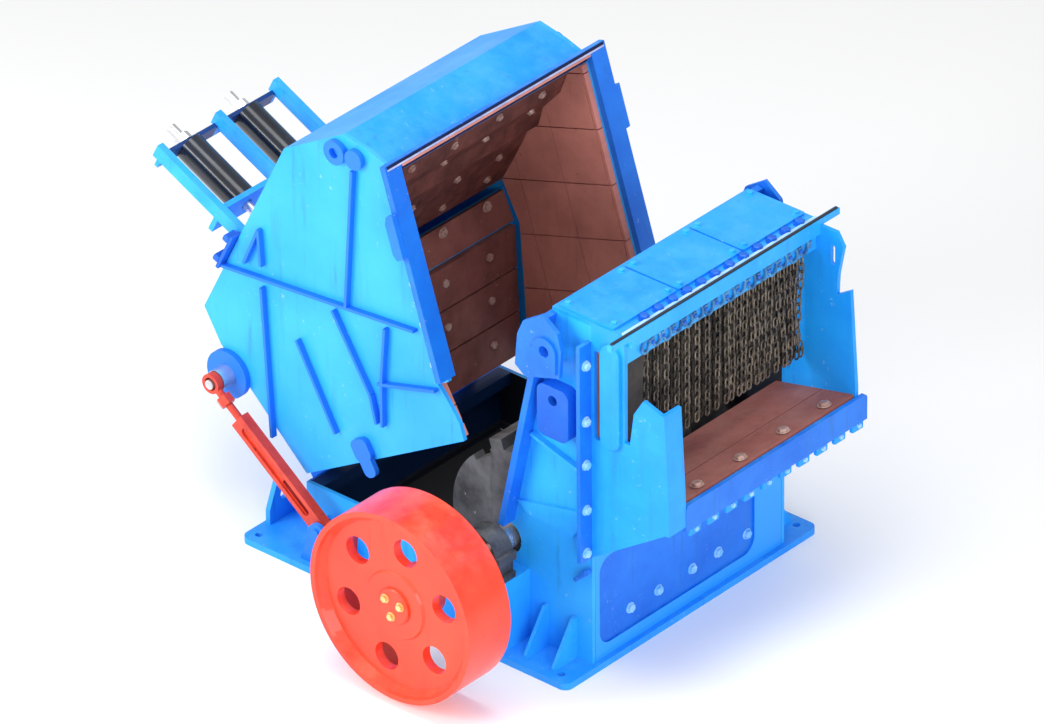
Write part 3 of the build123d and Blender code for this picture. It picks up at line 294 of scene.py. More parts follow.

# %% [markdown]
# The third effect gives one part of a solid a colour of its own. It is used where two paints share one solid, where a
# solid is darker inside, or where painted shade falls on part of it. It needs only a range along X and a range of
# distances from the middle plane.

# %% Shared effect: colour of a zone
ZONE_EDGE = 0.0015
zone_colour, given, out = new_group(
    "zone_colour",
    [("Color", "colour"), ("Zone Color", "colour"), ("X From", "number"), ("X To", "number"),
     ("Off Middle From", "number"), ("Off Middle To", "number")],
    [("Color", "colour")])
spot = zone_colour.nodes.new("ShaderNodeSeparateXYZ")
zone_colour.links.new(zone_colour.nodes.new("ShaderNodeTexCoord").outputs["Object"], spot.inputs["Vector"])
off_middle = zone_colour.nodes.new("ShaderNodeMath")
off_middle.operation = "ABSOLUTE"
zone_colour.links.new(spot.outputs["Y"], off_middle.inputs[0])
masks = []
for source, label in ((spot.outputs["X"], "X"), (off_middle.outputs["Value"], "Off Middle")):
    past_start = ramp(zone_colour, minus(zone_colour, source, given.outputs[label + " From"]), 0.0, ZONE_EDGE)
    before_end = ramp(zone_colour, minus(zone_colour, source, given.outputs[label + " To"]), 0.0, ZONE_EDGE, 1.0, 0.0)
    masks.append(times(zone_colour, past_start, before_end))
in_zone = times(zone_colour, masks[0], masks[1])
zone_colour.links.new(blend_colours(zone_colour, in_zone, given.outputs["Color"], given.outputs["Zone Color"]),
                      out.inputs["Color"])
print("zone_colour has", len(zone_colour.nodes), "nodes")

# %% [markdown]
# A finish is one material: the cloudy shade feeds the wear, and both feed the shader. Colours are given in linear
# light. Paint gets a thin coat and little bump; castings get more bump, a rougher skin and larger grain.

# %% Finishes made with the shared effects
def finish(name, light, dark, size=1.6, grain=60.0, contrast=1.0, rough=0.45, metallic=0.0, bump=0.08, coat=0.0,
           chips=0.0, chip_colour=(0.05, 0.05, 0.05), streaks=0.0, streak_colour=(0.02, 0.10, 0.30), dust=0.0,
           dust_colour=(0.10, 0.46, 0.88)):
    """A material whose colour drifts between two shades, with wear on top and a fine grain below."""
    made = bpy.data.materials.new(name)
    made.use_nodes = True
    nodes, links = made.node_tree.nodes, made.node_tree.links
    skin = nodes["Principled BSDF"]
    skin.inputs["Metallic"].default_value = metallic
    skin.inputs["Coat Weight"].default_value = coat
    skin.inputs["Specular IOR Level"].default_value = 0.32
    cloud = nodes.new("ShaderNodeGroup")
    cloud.name = "cloud"
    cloud.node_tree = cloudy_shade
    wear = nodes.new("ShaderNodeGroup")
    wear.name = "wear"
    wear.node_tree = worn_surface
    for node, values in ((cloud, {"Light": (*light, 1), "Dark": (*dark, 1), "Size": size, "Grain Size": grain,
                                  "Contrast": contrast}),
                         (wear, {"Chip Color": (*chip_colour, 1), "Chips": chips, "Streak Color": (*streak_colour, 1),
                                 "Streaks": streaks, "Dust Color": (*dust_colour, 1), "Dust": dust})):
        for label, value in values.items():
            node.inputs[label].default_value = value
    relief = nodes.new("ShaderNodeBump")
    relief.inputs["Strength"].default_value = bump
    relief.inputs["Distance"].default_value = 0.004
    links.new(cloud.outputs["Color"], wear.inputs["Color"])
    links.new(wear.outputs["Color"], skin.inputs["Base Color"])
    sheen = times(made.node_tree, cloud.outputs["Shade"], 0.16)
    rougher = times(made.node_tree, times(made.node_tree, wear.outputs["Worn"], 0.3), sheen, sum_of=True)
    links.new(times(made.node_tree, rougher, max(0.05, rough - 0.06), sum_of=True), skin.inputs["Roughness"])
    links.new(cloud.outputs["Height"], relief.inputs["Height"])
    links.new(relief.outputs["Normal"], skin.inputs["Normal"])
    return made


paint = dict(coat=0.05, chips=0.30, chip_colour=(0.55, 0.80, 0.95), streaks=0.45, dust=0.35)
SKY_BLUE = ((0.030, 0.44, 1.0), (0.014, 0.34, 0.96))
DEEP_BLUE = ((0.010, 0.20, 0.82), (0.004, 0.13, 0.68))
sky_paint = finish("sky_paint", *SKY_BLUE, size=2.2, rough=0.42, **paint)
# A darker copy of the sky blue, which paints the shade of the tops, the wing and the cheeks.
top_shaded_paint = finish("top_shaded_paint", (0.016, 0.36, 0.98), (0.006, 0.28, 0.90), size=2.6, rough=0.40, **paint)
deep_paint = finish("deep_paint", *DEEP_BLUE, size=3.0, rough=0.42, **paint)
rib_paint = finish("rib_paint", (0.006, 0.14, 0.70), (0.003, 0.09, 0.52), size=4.0, rough=0.45, coat=0.1, chips=0.5,
                   chip_colour=(0.10, 0.42, 0.85))
red_wheel = finish("red_wheel", (1.0, 0.062, 0.022), (0.88, 0.040, 0.014), size=2.5, rough=0.34, coat=0.3, chips=0.5,
                   chip_colour=(0.16, 0.02, 0.012), streaks=0.5, streak_colour=(0.42, 0.012, 0.006), dust=0.4,
                   dust_colour=(0.95, 0.22, 0.14))
strut_red = finish("strut_red", (0.72, 0.060, 0.026), (0.46, 0.026, 0.014), size=7.0, rough=0.4, coat=0.2, chips=1.0,
                   chip_colour=(0.10, 0.02, 0.015), streaks=0.8, streak_colour=(0.25, 0.010, 0.006))
liner_cast = finish("liner_cast", (0.44, 0.155, 0.125), (0.29, 0.095, 0.080), size=4.5, grain=46, rough=0.62,
                    bump=0.28, chips=0.8, chip_colour=(0.16, 0.055, 0.045), streaks=0.5,
                    streak_colour=(0.14, 0.045, 0.035), dust=0.4, dust_colour=(0.42, 0.22, 0.18))
back_cast = finish("back_cast", (0.30, 0.105, 0.088), (0.18, 0.062, 0.054), size=5.5, grain=46, rough=0.6,
                   bump=0.28, chips=0.9, chip_colour=(0.50, 0.30, 0.25), streaks=0.6,
                   streak_colour=(0.09, 0.03, 0.025), dust=0.3, dust_colour=(0.42, 0.22, 0.18))
side_cast = finish("side_cast", (0.70, 0.27, 0.215), (0.50, 0.185, 0.150), size=3.5, grain=46, rough=0.62,
                   bump=0.25, chips=0.5, chip_colour=(0.30, 0.11, 0.09), streaks=0.35,
                   streak_colour=(0.30, 0.10, 0.08))
apron_cast = finish("apron_cast", (0.19, 0.060, 0.048), (0.080, 0.026, 0.022), size=9.0, grain=22, rough=0.55,
                    bump=1.0, chips=1.0, chip_colour=(0.40, 0.22, 0.17), streaks=0.8,
                    streak_colour=(0.02, 0.010, 0.009))
rotor_cast = finish("rotor_cast", (0.115, 0.118, 0.125), (0.030, 0.030, 0.033), size=6.0, grain=40, rough=0.5,
                    metallic=0.35, bump=0.3, chips=1.0, chip_colour=(0.34, 0.33, 0.31), streaks=0.5,
                    streak_colour=(0.012, 0.012, 0.014), dust=0.6, dust_colour=(0.26, 0.25, 0.23))
chain_metal = finish("chain_metal", (0.30, 0.25, 0.20), (0.055, 0.048, 0.042), size=16.0, grain=80, rough=0.4,
                     metallic=0.6, bump=0.2, chips=0.8, chip_colour=(0.48, 0.40, 0.32))
chain_dark = finish("chain_dark", (0.070, 0.060, 0.050), (0.016, 0.015, 0.015), size=16.0, grain=80, rough=0.5,
                    metallic=0.4, bump=0.2)
rubber_flap = finish("rubber_flap", (0.060, 0.052, 0.048), (0.030, 0.027, 0.027), size=9.0, grain=120, rough=0.62,
                     bump=0.3, chips=0.4, chip_colour=(0.12, 0.10, 0.09), dust=0.3, dust_colour=(0.2, 0.17, 0.15))
sleeve_black = finish("sleeve_black", (0.013, 0.019, 0.034), (0.004, 0.006, 0.012), size=6.0, rough=0.25, coat=0.5,
                      chips=0.4, chip_colour=(0.05, 0.07, 0.10))
bright_steel = finish("bright_steel", (0.78, 0.78, 0.80), (0.55, 0.55, 0.57), size=8.0, grain=120, rough=0.28,
                      metallic=0.85, bump=0.05, chips=0.5, chip_colour=(0.30, 0.29, 0.28))
pale_bolt = finish("pale_bolt", (0.42, 0.68, 0.95), (0.12, 0.45, 0.90), size=22.0, rough=0.4, chips=0.6,
                   chip_colour=(0.8, 0.85, 0.9))
worn_bolt = finish("worn_bolt", (0.62, 0.45, 0.40), (0.34, 0.17, 0.14), size=24.0, grain=90, rough=0.45, metallic=0.3,
                   chips=0.8, chip_colour=(0.8, 0.72, 0.66))
hanger_paint = finish("hanger_paint", (0.10, 0.34, 0.62), (0.010, 0.07, 0.24), size=12.0, rough=0.42, chips=1.0,
                      chip_colour=(0.45, 0.65, 0.85))
# A pale blue that paints the highlight on the deck's front edge.
highlight_paint = finish("highlight_paint", (0.62, 0.78, 0.80), (0.30, 0.62, 0.85), size=9.0, rough=0.4, chips=0.8,
                    chip_colour=(0.75, 0.88, 0.97))
navy_edge = finish("navy_edge", (0.004, 0.010, 0.075), (0.002, 0.005, 0.040), size=9.0, rough=0.5, chips=0.5,
                   chip_colour=(0.05, 0.12, 0.40))
lilac_edge = finish("lilac_edge", (0.50, 0.55, 0.82), (0.30, 0.38, 0.70), size=14.0, rough=0.5, chips=0.8,
                    chip_colour=(0.10, 0.16, 0.40))
brass_bolt = finish("brass_bolt", (0.90, 0.72, 0.34), (0.72, 0.46, 0.16), size=18.0, grain=100, rough=0.3,
                    metallic=0.7, bump=0.05)
print("finishes:", len(bpy.data.materials))

# %% [markdown]
# The ribs of the side plates read darker than the plates in the photograph, because their faces stand in shade, and
# that shade is painted here. They are one solid with their plate, so the zone effect tells them apart: whatever stands
# further out than the plate's face gets the darker blue of painted shade. In the same way the walls of the base are
# darkened inside, the inner face of the rear wall gets a navy as painted shade, and the front panel is darker than the
# plate round it.

# %% Two-tone plates and painted shade
PLATE_FACE = 0.6275
WALL_INSIDE = 0.6080
CHAMBER = (-0.690, 0.885)
PANEL_FACE = 0.8985
FAR_OFF = 9.0
# A near-black for the inside of the base's walls and flange.
DARK_INSIDE = (0.018, 0.022, 0.034)


def shade_where(material, colour, x=(-FAR_OFF, FAR_OFF), y=(-FAR_OFF, FAR_OFF)):
    """Give a zone a colour of its own; y is the distance from the middle plane."""
    tree = material.node_tree
    zone = tree.nodes.new("ShaderNodeGroup")
    zone.node_tree = zone_colour
    values = {"Zone Color": (*colour, 1), "X From": x[0], "X To": x[1], "Off Middle From": y[0], "Off Middle To": y[1]}
    for label, value in values.items():
        zone.inputs[label].default_value = value
    tree.links.new(tree.nodes["wear"].outputs["Color"], zone.inputs["Color"])
    tree.links.new(zone.outputs["Color"], tree.nodes["Principled BSDF"].inputs["Base Color"])


walled_paint = finish("walled_paint", *SKY_BLUE, size=2.2, rough=0.42, **paint)
shade_where(walled_paint, DARK_INSIDE, y=(-FAR_OFF, WALL_INSIDE))
# The ribs get a darker blue as painted shade.
ribbed_shaded_paint = finish("ribbed_shaded_paint", (0.034, 0.44, 1.0), (0.018, 0.35, 0.97), size=2.0, rough=0.42, **paint)
shade_where(ribbed_shaded_paint, (0.010, 0.17, 0.76), y=(PLATE_FACE + 0.001, FAR_OFF))
flange_paint = finish("flange_paint", (0.024, 0.36, 0.98), (0.010, 0.27, 0.92), size=2.4, rough=0.42, **paint)
shade_where(flange_paint, DARK_INSIDE, x=CHAMBER, y=(-FAR_OFF, WALL_INSIDE))
# The inner face of the rear wall gets a navy that paints the shade it stands in.
rear_wall_shaded_paint = finish("rear_wall_shaded_paint", *DEEP_BLUE, size=3.0, rough=0.42, **paint)
shade_where(rear_wall_shaded_paint, (0.006, 0.035, 0.13), x=(CHAMBER[0], FAR_OFF))
panel_paint = finish("panel_paint", *DEEP_BLUE, size=3.0, rough=0.42, **paint)
shade_where(panel_paint, (0.024, 0.34, 0.97), x=(PANEL_FACE, FAR_OFF))
print("rib paint starts at y", PLATE_FACE)

# %% [markdown]
# The crossbars at the outer end of the springs are nearly navy, while the posts that hold them stay light. Measured
# along the springs, everything past the sleeves is darkened, except within a post's thickness.

# %% Navy crossbars of the spring frame
SPRING_WAY = opened_way(-0.5493, 0.8356)
POST_PITCH = 0.367
FIRST_POST = 0.570
POST_HALF = 0.0175
BAR_LEVEL = 0.507

spring_paint = finish("spring_paint", (0.030, 0.44, 1.0), (0.014, 0.32, 0.94), size=4.0, rough=0.42, **paint)
tree = spring_paint.node_tree
spring_place = tree.nodes.new("ShaderNodeTexCoord").outputs["Object"]
level = tree.nodes.new("ShaderNodeVectorMath")
level.operation = "DOT_PRODUCT"
level.inputs[1].default_value = SPRING_WAY
tree.links.new(spring_place, level.inputs[0])
bar_start = opened(*SPRING_SEAT).dot(SPRING_WAY) + BAR_LEVEL
past_sleeves = ramp(tree, level.outputs["Value"], bar_start, bar_start + 0.004)
beside = tree.nodes.new("ShaderNodeSeparateXYZ")
tree.links.new(spring_place, beside.inputs["Vector"])
from_post = tree.nodes.new("ShaderNodeMath")
from_post.operation = "PINGPONG"
from_post.inputs[1].default_value = POST_PITCH / 2
shifted = tree.nodes.new("ShaderNodeMath")
shifted.operation = "ADD"
shifted.inputs[1].default_value = FIRST_POST
tree.links.new(beside.outputs["Y"], shifted.inputs[0])
tree.links.new(shifted.outputs["Value"], from_post.inputs[0])
off_post = ramp(tree, from_post.outputs["Value"], POST_HALF, POST_HALF + 0.0015)
bar_mask = times(tree, past_sleeves, off_post)
tree.links.new(blend_colours(tree, bar_mask, tree.nodes["wear"].outputs["Color"], (0.004, 0.045, 0.20)),
               tree.nodes["Principled BSDF"].inputs["Base Color"])

print("crossbars start at", round(bar_start, 3), "m along the springs")

# %% [markdown]
# Every solid carries the name of a material slot from the CAD file. Most take the finish of their slot, and some get
# one of their own.

# %% Finish of each solid
slot_finish = {
    "blue_paint": sky_paint,
    "deep_blue_paint": deep_paint,
    "red_paint": red_wheel,
    "liner_steel": liner_cast,
    "rotor_iron": rotor_cast,
    "chain_steel": chain_metal,
    "black_sleeve": sleeve_black,
    "bright_steel": bright_steel,
}
own_finish = {
    "base_flange": flange_paint, "base_rear_wall": rear_wall_shaded_paint, "base_front_wall": panel_paint,
    "near_side_wall": walled_paint, "far_side_wall": walled_paint,
    "rear_near_side": ribbed_shaded_paint, "rear_far_side": ribbed_shaded_paint,
    "rear_near_skirt": ribbed_shaded_paint, "rear_far_skirt": ribbed_shaded_paint,
    "rear_top_plate": top_shaded_paint, "top_deck": top_shaded_paint, "deck_covers": top_shaded_paint, "near_wing": top_shaded_paint,
    "far_cheek": top_shaded_paint, "near_cheek": top_shaded_paint,
    "back_liners": back_cast, "far_side_liners": side_cast, "near_side_liners": side_cast,
    "spring_frame": spring_paint, "impact_apron": apron_cast, "pulley": red_wheel, "hub_cap": red_wheel,
    "strut_tube": strut_red, "strut_rod": strut_red,
    "clamp_blocks": rib_paint,
}
for part in frame["record"]["subparts"]:
    solid = frame["nodes"][part["node"]]
    solid.data.materials.clear()
    solid.data.materials.append(own_finish.get(part["node"], slot_finish[part["material_slot"]]))

# %% [markdown]
# Every new piece is made the same way: a bmesh becomes an object at the origin, with its place in its mesh, one
# finish, and the body that it moves with.

# %% From bmesh to piece
def make_piece(name, mesh, body, skin):
    """Turn a bmesh into an object that wears one finish and rides on one body."""
    bmesh.ops.recalc_face_normals(mesh, faces=mesh.faces)
    data = bpy.data.meshes.new(name)
    mesh.to_mesh(data)
    mesh.free()
    data.materials.append(skin)
    piece = bpy.data.objects.new(name, data)
    bpy.context.collection.objects.link(piece)
    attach(piece, body)
    print(name, "has", len(data.polygons), "faces")
    return piece


# %% [markdown]
# Bolts hold nearly every plate of a crusher, because wear plates are changed often. A hexagon head with a washer is
# a six-sided prism with a chamfer over a flat disc. One helper adds both to a shared mesh, turned so that its axis
# follows any direction, so a whole row becomes one light object.

# %% Bolt heads and softened blocks
def add_bolt(mesh, place, way, across=0.036, high=0.016, washer=True, spin=0.0):
    """Add a chamfered hexagon head on a washer; the axis points along way."""
    turn = Vector(way).to_track_quat("Z", "Y").to_matrix().to_4x4()
    stand = Matrix.Translation(Vector(place)) @ turn @ Matrix.Rotation(spin, 4, "Z")
    foot = 0.0
    if washer:
        foot = high * 0.22
        bmesh.ops.create_cone(mesh, cap_ends=True, segments=16, radius1=across * 0.72, radius2=across * 0.70,
                              depth=foot, matrix=stand @ Matrix.Translation((0, 0, foot / 2)))
    body = high * 0.78
    bmesh.ops.create_cone(mesh, cap_ends=True, segments=6, radius1=across * 0.56, radius2=across * 0.56,
                          depth=body, matrix=stand @ Matrix.Translation((0, 0, foot + body / 2)))
    crown = high - foot - body + high * 0.16
    bmesh.ops.create_cone(mesh, cap_ends=True, segments=6, radius1=across * 0.56, radius2=across * 0.42,
                          depth=crown, matrix=stand @ Matrix.Translation((0, 0, foot + body + crown / 2)))


def bolt_row(name, places, way, body, skin, slot, **sizes):
    """One object with a bolt head at each place."""
    mesh = bmesh.new()
    for i, place in enumerate(places):
        add_bolt(mesh, place, way, spin=0.9 * i, **sizes)
    return make_piece(name, mesh, body, skin)


def add_block(mesh, low, high, soft=0.004):
    """Add a box between two corners, with softened edges."""
    size = [b - a for a, b in zip(low, high)]
    middle = [(a + b) / 2 for a, b in zip(low, high)]
    made = bmesh.ops.create_cube(mesh, size=1.0, matrix=Matrix.Translation(middle) @ Matrix.Diagonal((*size, 1)))
    if soft:
        edges = list(dict.fromkeys(edge for vert in made["verts"] for edge in vert.link_edges))
        bmesh.ops.bevel(mesh, geom=edges, offset=min(soft, min(size) * 0.4), segments=2, profile=0.5,
                        affect="EDGES", material=-1)


# %% [markdown]
# The corner posts, the front panel, the deck and its covers each get rows of their own.

# %% Bolts of the front half
post_bolts = [(0.9, side * 0.6635, z) for side in (-1, 1) for z in (0.60, 0.81, 1.03, 1.24, 1.51)]
bolt_row("post_bolts", post_bolts, (1, 0, 0), "frame", pale_bolt, "blue_paint", across=0.034, high=0.016)
panel_bolts = [(0.89, y, 0.185) for y in (-0.372, -0.19, 0.03, 0.20, 0.39)]
bolt_row("panel_bolts", panel_bolts, (1, 0, 0), "frame", pale_bolt, "blue_paint", across=0.036, high=0.014)
deck_bolts = [(1.047, -0.46 + 0.091 * i, 1.70) for i in range(12)]
bolt_row("deck_bolts", deck_bolts, (0, 0, 1), "frame", rib_paint, "deep_blue_paint", across=0.040, high=0.020)
cover_bolts = [(x, 0.415 * i + dy, 1.712) for x in (0.74, 0.99) for i in (-1, 0, 1) for dy in (-0.17, 0.17)]
bolt_row("cover_bolts", cover_bolts, (0, 0, 1), "frame", sky_paint, "blue_paint", across=0.026, high=0.011)

# %% [markdown]
# A short strap with a bolt sits at the foot of the near corner strip. It is one softened block, turned to lean.

# %% Strap on the near corner
strap = bmesh.new()
add_block(strap, (-0.055, -0.014, -0.010), (0.055, 0.014, 0.010), soft=0.006)
lean_strap = Matrix.Translation((0.868, -0.650, 0.470)) @ Matrix.Rotation(-0.75, 4, "Y")
bmesh.ops.transform(strap, matrix=lean_strap, verts=strap.verts)
add_bolt(strap, (0.895, -0.664, 0.500), (0, -1, 0), across=0.022, high=0.009)
make_piece("corner_strap", strap, "frame", deep_paint)

# %% [markdown]
# The lip of the inlet hangs on a row of bolts through short tabs. Each tab is a small plate with softened edges,
# hooked under the flange.

# %% Tabs and bolts under the lip
lip_y = [-0.44 + 0.118 * i for i in range(10)]
tabs = bmesh.new()
for y in lip_y:
    add_block(tabs, (1.284, y - 0.036, 0.752), (1.306, y + 0.036, 0.812), soft=0.006)
make_piece("lip_tabs", tabs, "frame", top_shaded_paint)
bolt_row("lip_bolts", [(1.306, y, 0.780) for y in lip_y], (1, 0, 0), "frame", pale_bolt, "blue_paint",
         across=0.022, high=0.010, washer=False)
bolt_row("lip_floor_bolts", [(1.245, y, 0.927) for y in (-0.36, -0.08, 0.20, 0.47)], (-0.22, 0, 0.97), "frame",
         worn_bolt, "liner_steel", across=0.044, high=0.014)

# %% [markdown]
# Wear plates are held by large bolts whose heads shine where stone has rubbed them. Their places follow the rows of
# plates: four across each plate of the back wall, and a scatter over the apron's steps.

# %% Bolts of the wear plates
back_rows = [(-0.122, 1.015), (-0.240, 0.798), (-0.338, 0.609), (-0.438, 0.415)]
out_of_wall = opened_way(0.888, -0.459)
rows = bmesh.new()
for x, z in back_rows:
    for y in (-0.435, -0.145, 0.115, 0.40):
        add_bolt(rows, opened(x, y, z), out_of_wall, across=0.036, high=0.013, spin=x * 40)
make_piece("back_wall_bolts", rows, "rear_housing", worn_bolt)

# %% [markdown]
# The impact apron takes the stones thrown by the rotor. Its face is stepped, so the bolts are placed on the middle
# of each step, a little off line from row to row as on a worn machine.

# %% Bolts of the impact apron
apron_steps = [(520, 1478), (414, 1391), (274, 1344), (201, 1273), (134, 1265), (-20, 1161), (-150, 1080)]
studs = bmesh.new()
for i in (0, 1, 4, 5):
    (ax, az), (bx, bz) = apron_steps[i], apron_steps[i + 1]
    way = opened_way(az - bz, bx - ax)
    for k, y in enumerate((-0.42, -0.14, 0.14, 0.42)):
        along = 0.42 + 0.12 * ((i + k) % 2)
        spot = opened((ax + (bx - ax) * along) / 1000, y, (az + (bz - az) * along) / 1000)
        add_bolt(studs, spot, way, across=0.028, high=0.011, spin=k * 0.7)
make_piece("apron_bolts", studs, "apron", worn_bolt)

# %% [markdown]
# The feed inlet is screened by hanging chains, which stop stones from flying back out. A link is a round bar bent
# into an oval: one small circle is spun into a ring and its halves are pulled apart. Links hang turned a quarter from
# each other, and each strand hangs a little out of line, as real chain does. Stouter links fill the rows behind.

# %% Chain curtain
def oval_link(wire=0.0046, round_r=0.0125, straight=0.022, sides=6, steps=10):
    """The mesh of one chain link: a spun ring whose upper and lower halves are pulled apart into an oval."""
    mesh = bmesh.new()
    half_step = Matrix.Rotation(math.pi / steps, 4, "Y")
    ring = bmesh.ops.create_circle(mesh, segments=sides, radius=wire,
                                   matrix=half_step @ Matrix.Translation((round_r, 0, 0)))
    edges = list(dict.fromkeys(edge for vert in ring["verts"] for edge in vert.link_edges))
    bmesh.ops.spin(mesh, geom=ring["verts"] + edges, cent=(0, 0, 0), axis=(0, 1, 0), angle=math.tau, steps=steps,
                   use_merge=True)
    for vert in mesh.verts:
        vert.co.z += math.copysign(straight / 2, vert.co.z)
    bmesh.ops.recalc_face_normals(mesh, faces=mesh.faces)
    data = bpy.data.meshes.new("link")
    mesh.to_mesh(data)
    mesh.free()
    return data


def add_copy(mesh, data, matrix):
    """Add a placed copy of a mesh to a bmesh."""
    placed = data.copy()
    placed.transform(matrix)
    mesh.from_mesh(placed)
    bpy.data.meshes.remove(placed)


CHAIN_TOP = 1.562
CHAIN_FOOT = 1.012
LINK_PITCH = 0.0375
LINKS = int((CHAIN_TOP - CHAIN_FOOT) / LINK_PITCH)
small_link = oval_link()
stout_link = oval_link(wire=0.0060, round_r=0.0135)


def hang_strands(name, places, link, skin, restless):
    """One object with a strand of links at each (x, y); restless strands sway more towards the far side."""
    mesh = bmesh.new()
    for number, (x, y) in enumerate(places):
        wander = 0.003 + restless * max(0.0, y + 0.05)
        for i in range(LINKS):
            down = LINK_PITCH * (i + 0.5)
            sway = wander * noise.noise(Vector((number * 1.3, down * 6.0, 0.5))) * min(1.0, down * 5)
            push = 0.002 * noise.noise(Vector((number * 0.7, down * 3.0, 7.5)))
            turn = Matrix.Rotation(math.pi / 2 * (i % 2) + 0.35 * noise.noise(Vector((number, i, 2.0))), 4, "Z")
            add_copy(mesh, link, Matrix.Translation((x + push, y + sway, CHAIN_TOP - down)) @ turn)
    return make_piece(name, mesh, "frame", skin)


back_rows = ((1.013, 0.0), (1.005, 0.0172), (0.998, 0.008))
back_rows_at = [(x, -0.575 + 0.0345 * i + shift) for x, shift in back_rows for i in range(33)]
chains = hang_strands("back_strands", back_rows_at, stout_link, chain_dark, 0.012)
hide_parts("chain_curtain")
front_row_at = [(1.031, -0.435 + 0.066 * i) for i in range(8)]
front_row_at += [(1.031, 0.085 + 0.040 * i) for i in range(13)]
hang_strands("front_strands", front_row_at, small_link, chain_metal, 0.060)
bpy.data.meshes.remove(small_link)
bpy.data.meshes.remove(stout_link)

# %% [markdown]
# At the near end of the curtain a thick rubber flap hangs instead of chain. It is a plate cut to shape, with a soft
# wave pressed in by a smooth noise, so it does not look like sheet steel.

# %% Rubber flap at the near end
TAPER_FROM = 1.08
flap = bmesh.new()
bmesh.ops.create_grid(flap, x_segments=6, y_segments=20, size=0.5,
                      matrix=Matrix.Translation((1.036, -0.524, 1.288)) @ Matrix.Rotation(math.pi / 2, 4, "Y")
                      @ Matrix.Diagonal((0.548, 0.140, 1, 1)))
for vert in flap.verts:
    vert.co.x += 0.006 * noise.noise(vert.co * 7.0)
    if vert.co.z < TAPER_FROM:
        vert.co.y -= 0.05 * (TAPER_FROM - vert.co.z) / 0.07 * max(0.0, (vert.co.y + 0.56) / 0.1)
bmesh.ops.solidify(flap, geom=list(flap.faces), thickness=0.007)
make_piece("curtain_flap", flap, "frame", rubber_flap)

# %% [markdown]
# The chains hang from a row of oval shackles in front of the lintel. Each is a thicker ring of the same making, with
# a small block beside it that takes a bolt.

# %% Shackles and blocks above the chains
SHACKLE_PITCH = 0.068
big_link = oval_link(wire=0.0075, round_r=0.0225, straight=0.020)
shackles = bmesh.new()
for i in range(16):
    y = -0.50 + SHACKLE_PITCH * i
    lean = Matrix.Rotation(0.25 if i % 3 else -0.25, 4, "X")
    add_copy(shackles, big_link, Matrix.Translation((1.0885, y, 1.604 + 0.006 * (i % 2))) @ lean
             @ Matrix.Rotation(math.pi / 2, 4, "Z"))
    add_block(shackles, (1.080, y + 0.026, 1.596), (1.098, y + 0.041, 1.632), soft=0.003)
bpy.data.meshes.remove(big_link)
make_piece("shackles", shackles, "frame", hanger_paint)
shackle_bolts = [(1.098, -0.4665 + SHACKLE_PITCH * i, 1.612) for i in range(15)]
bolt_row("shackle_bolts", shackle_bolts, (1, 0, 0), "frame", rib_paint, "deep_blue_paint",
         across=0.017, high=0.006, washer=False)

# %% [markdown]
# A rubber seal lies in the angle of the wide rail at the front of the deck, and beside it a pale strip paints the
# highlight along the rail's edge. Both are long thin strips, so two softened boxes do.

# %% Seal and painted highlight along the front of the deck
seal = bmesh.new()
add_block(seal, (1.086, -0.728, 1.712), (1.101, 0.728, 1.720), soft=0.003)
make_piece("hood_seal", seal, "frame", sleeve_black)
# A pale strip paints the highlight along the front edge of the deck.
highlight_strip = bmesh.new()
add_block(highlight_strip, (1.060, -0.622, 1.700), (1.079, 0.622, 1.711), soft=0.003)
make_piece("hood_highlight_strip", highlight_strip, "frame", highlight_paint)

# %% [markdown]
# The belt pulley is keyed to the shaft, and its keeper plate is held by three bolts. They turn with the rotor.

# %% Keeper bolts
ROTOR_X, ROTOR_Z = 0.430, 0.475


def round_shaft(radius, y, angles):
    """Places on a circle round the rotor's shaft, for angles in radians."""
    return [(ROTOR_X + radius * math.cos(a), y, ROTOR_Z + radius * math.sin(a)) for a in angles]


keeper = round_shaft(0.048, -1.354, (0.4, 0.4 + 2.094, 0.4 + 4.189))
bolt_row("keeper_bolts", keeper, (0, -1, 0), "rotor", brass_bolt, "bright_steel", across=0.030, high=0.014)

# %% [markdown]
# The bearing housings stand outside the side walls. Four bolts in a square hold each one.

# %% Bearing bolts
for side, name in ((-1, "near"), (1, "far")):
    ring = round_shaft(0.092, side * 0.820, [math.radians(a) for a in (45, 135, 225, 315)])
    bolt_row(name + "_bearing_bolts", ring, (0, side, 0), "frame", worn_bolt, "rotor_iron", across=0.022, high=0.010)

# %% [markdown]
# The rear housing and the front half are bolted together through their flanges when the crusher runs. The bolts
# hang in the rear flange while it stands open, so a row follows each side of the mouth.

# %% Bolts of the mouth's flange
LEAN = math.radians(12.4)
JOINT_FOOT_X, JOINT_FOOT_Z = 0.405, 0.400


def on_flange(y, z, off):
    """A place on the leaning joint of the closed housing, given by its height and its distance from the joint."""
    return opened(JOINT_FOOT_X + (z - JOINT_FOOT_Z) * math.tan(LEAN) + off / math.cos(LEAN), y, z)


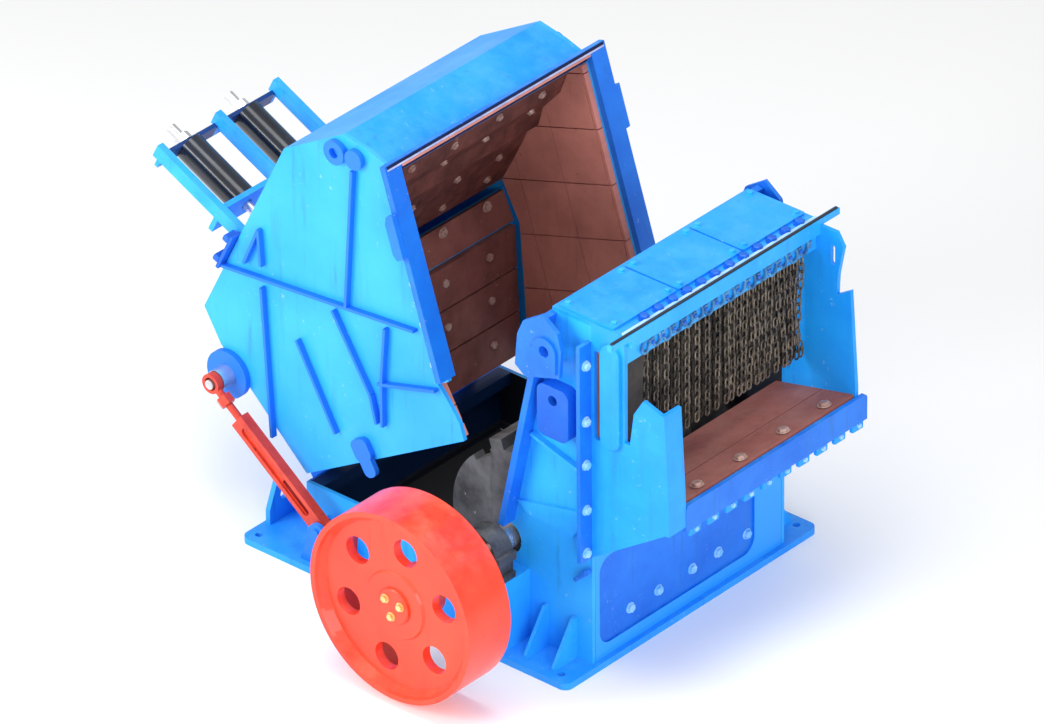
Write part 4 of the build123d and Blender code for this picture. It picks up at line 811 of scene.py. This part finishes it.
flange_way = opened_way(-math.cos(LEAN), math.sin(LEAN))
side_bolts = [on_flange(side * 0.672, z, -0.038) for side in (-1, 1) for z in (0.66, 0.84, 1.02)]
bolt_row("flange_bolts", side_bolts, flange_way, "rear_housing", pale_bolt, "blue_paint", across=0.034, high=0.018)

# %% [markdown]
# Along the top of the mouth lie a dark seal, a pale worn strip and the edge of the wear plates, and a thicker seal
# closes the slit behind them. Each is a long thin block, made flat and then turned into the plane of the flange.

# %% Strips along the top of the mouth
up_flange = opened_way(math.sin(LEAN), math.cos(LEAN))
across_flange = Vector((0, 1, 0))


def flange_strip(name, z, wide, thick, skin, half=0.690, off=-0.0085):
    """A strip along the mouth's top bar, centred at a height that was measured on the closed housing."""
    mesh = bmesh.new()
    add_block(mesh, (-half, -wide / 2, 0.0), (half, wide / 2, thick), soft=0.002)
    face_way = -flange_way
    turn = Matrix((across_flange, up_flange, face_way)).transposed().to_4x4()
    bmesh.ops.transform(mesh, matrix=Matrix.Translation(on_flange(0, z, off)) @ turn, verts=mesh.verts)
    return make_piece(name, mesh, "rear_housing", skin)


flange_strip("mouth_seal", 1.5275, 0.013, 0.004, navy_edge)
flange_strip("mouth_worn_strip", 1.5165, 0.009, 0.003, lilac_edge)
flange_strip("mouth_plate_edge", 1.5065, 0.010, 0.003, side_cast, half=0.600)
flange_strip("mouth_back_seal", 1.5080, 0.040, 0.016, navy_edge, half=0.606, off=-0.0540)

# %% [markdown]
# A flat bar with two ears lies along the slope's near edge, below the springs. It keeps the springs' seat in line.

# %% Bar below the springs
slope = math.atan2(0.585, 0.890)
latch = bmesh.new()
add_block(latch, (-0.110, -0.665, 0.004), (0.090, -0.600, 0.022), soft=0.004)
for x in (-0.085, 0.045):
    add_block(latch, (x, -0.668, 0.018), (x + 0.030, -0.600, 0.052), soft=0.008)
down_slope = Matrix.Rotation(-OPEN_ANGLE - slope, 4, "Y")
bmesh.ops.transform(latch, matrix=Matrix.Translation(opened(*SPRING_SEAT)) @ down_slope, verts=latch.verts)
make_piece("seat_bar", latch, "rear_housing", rib_paint)
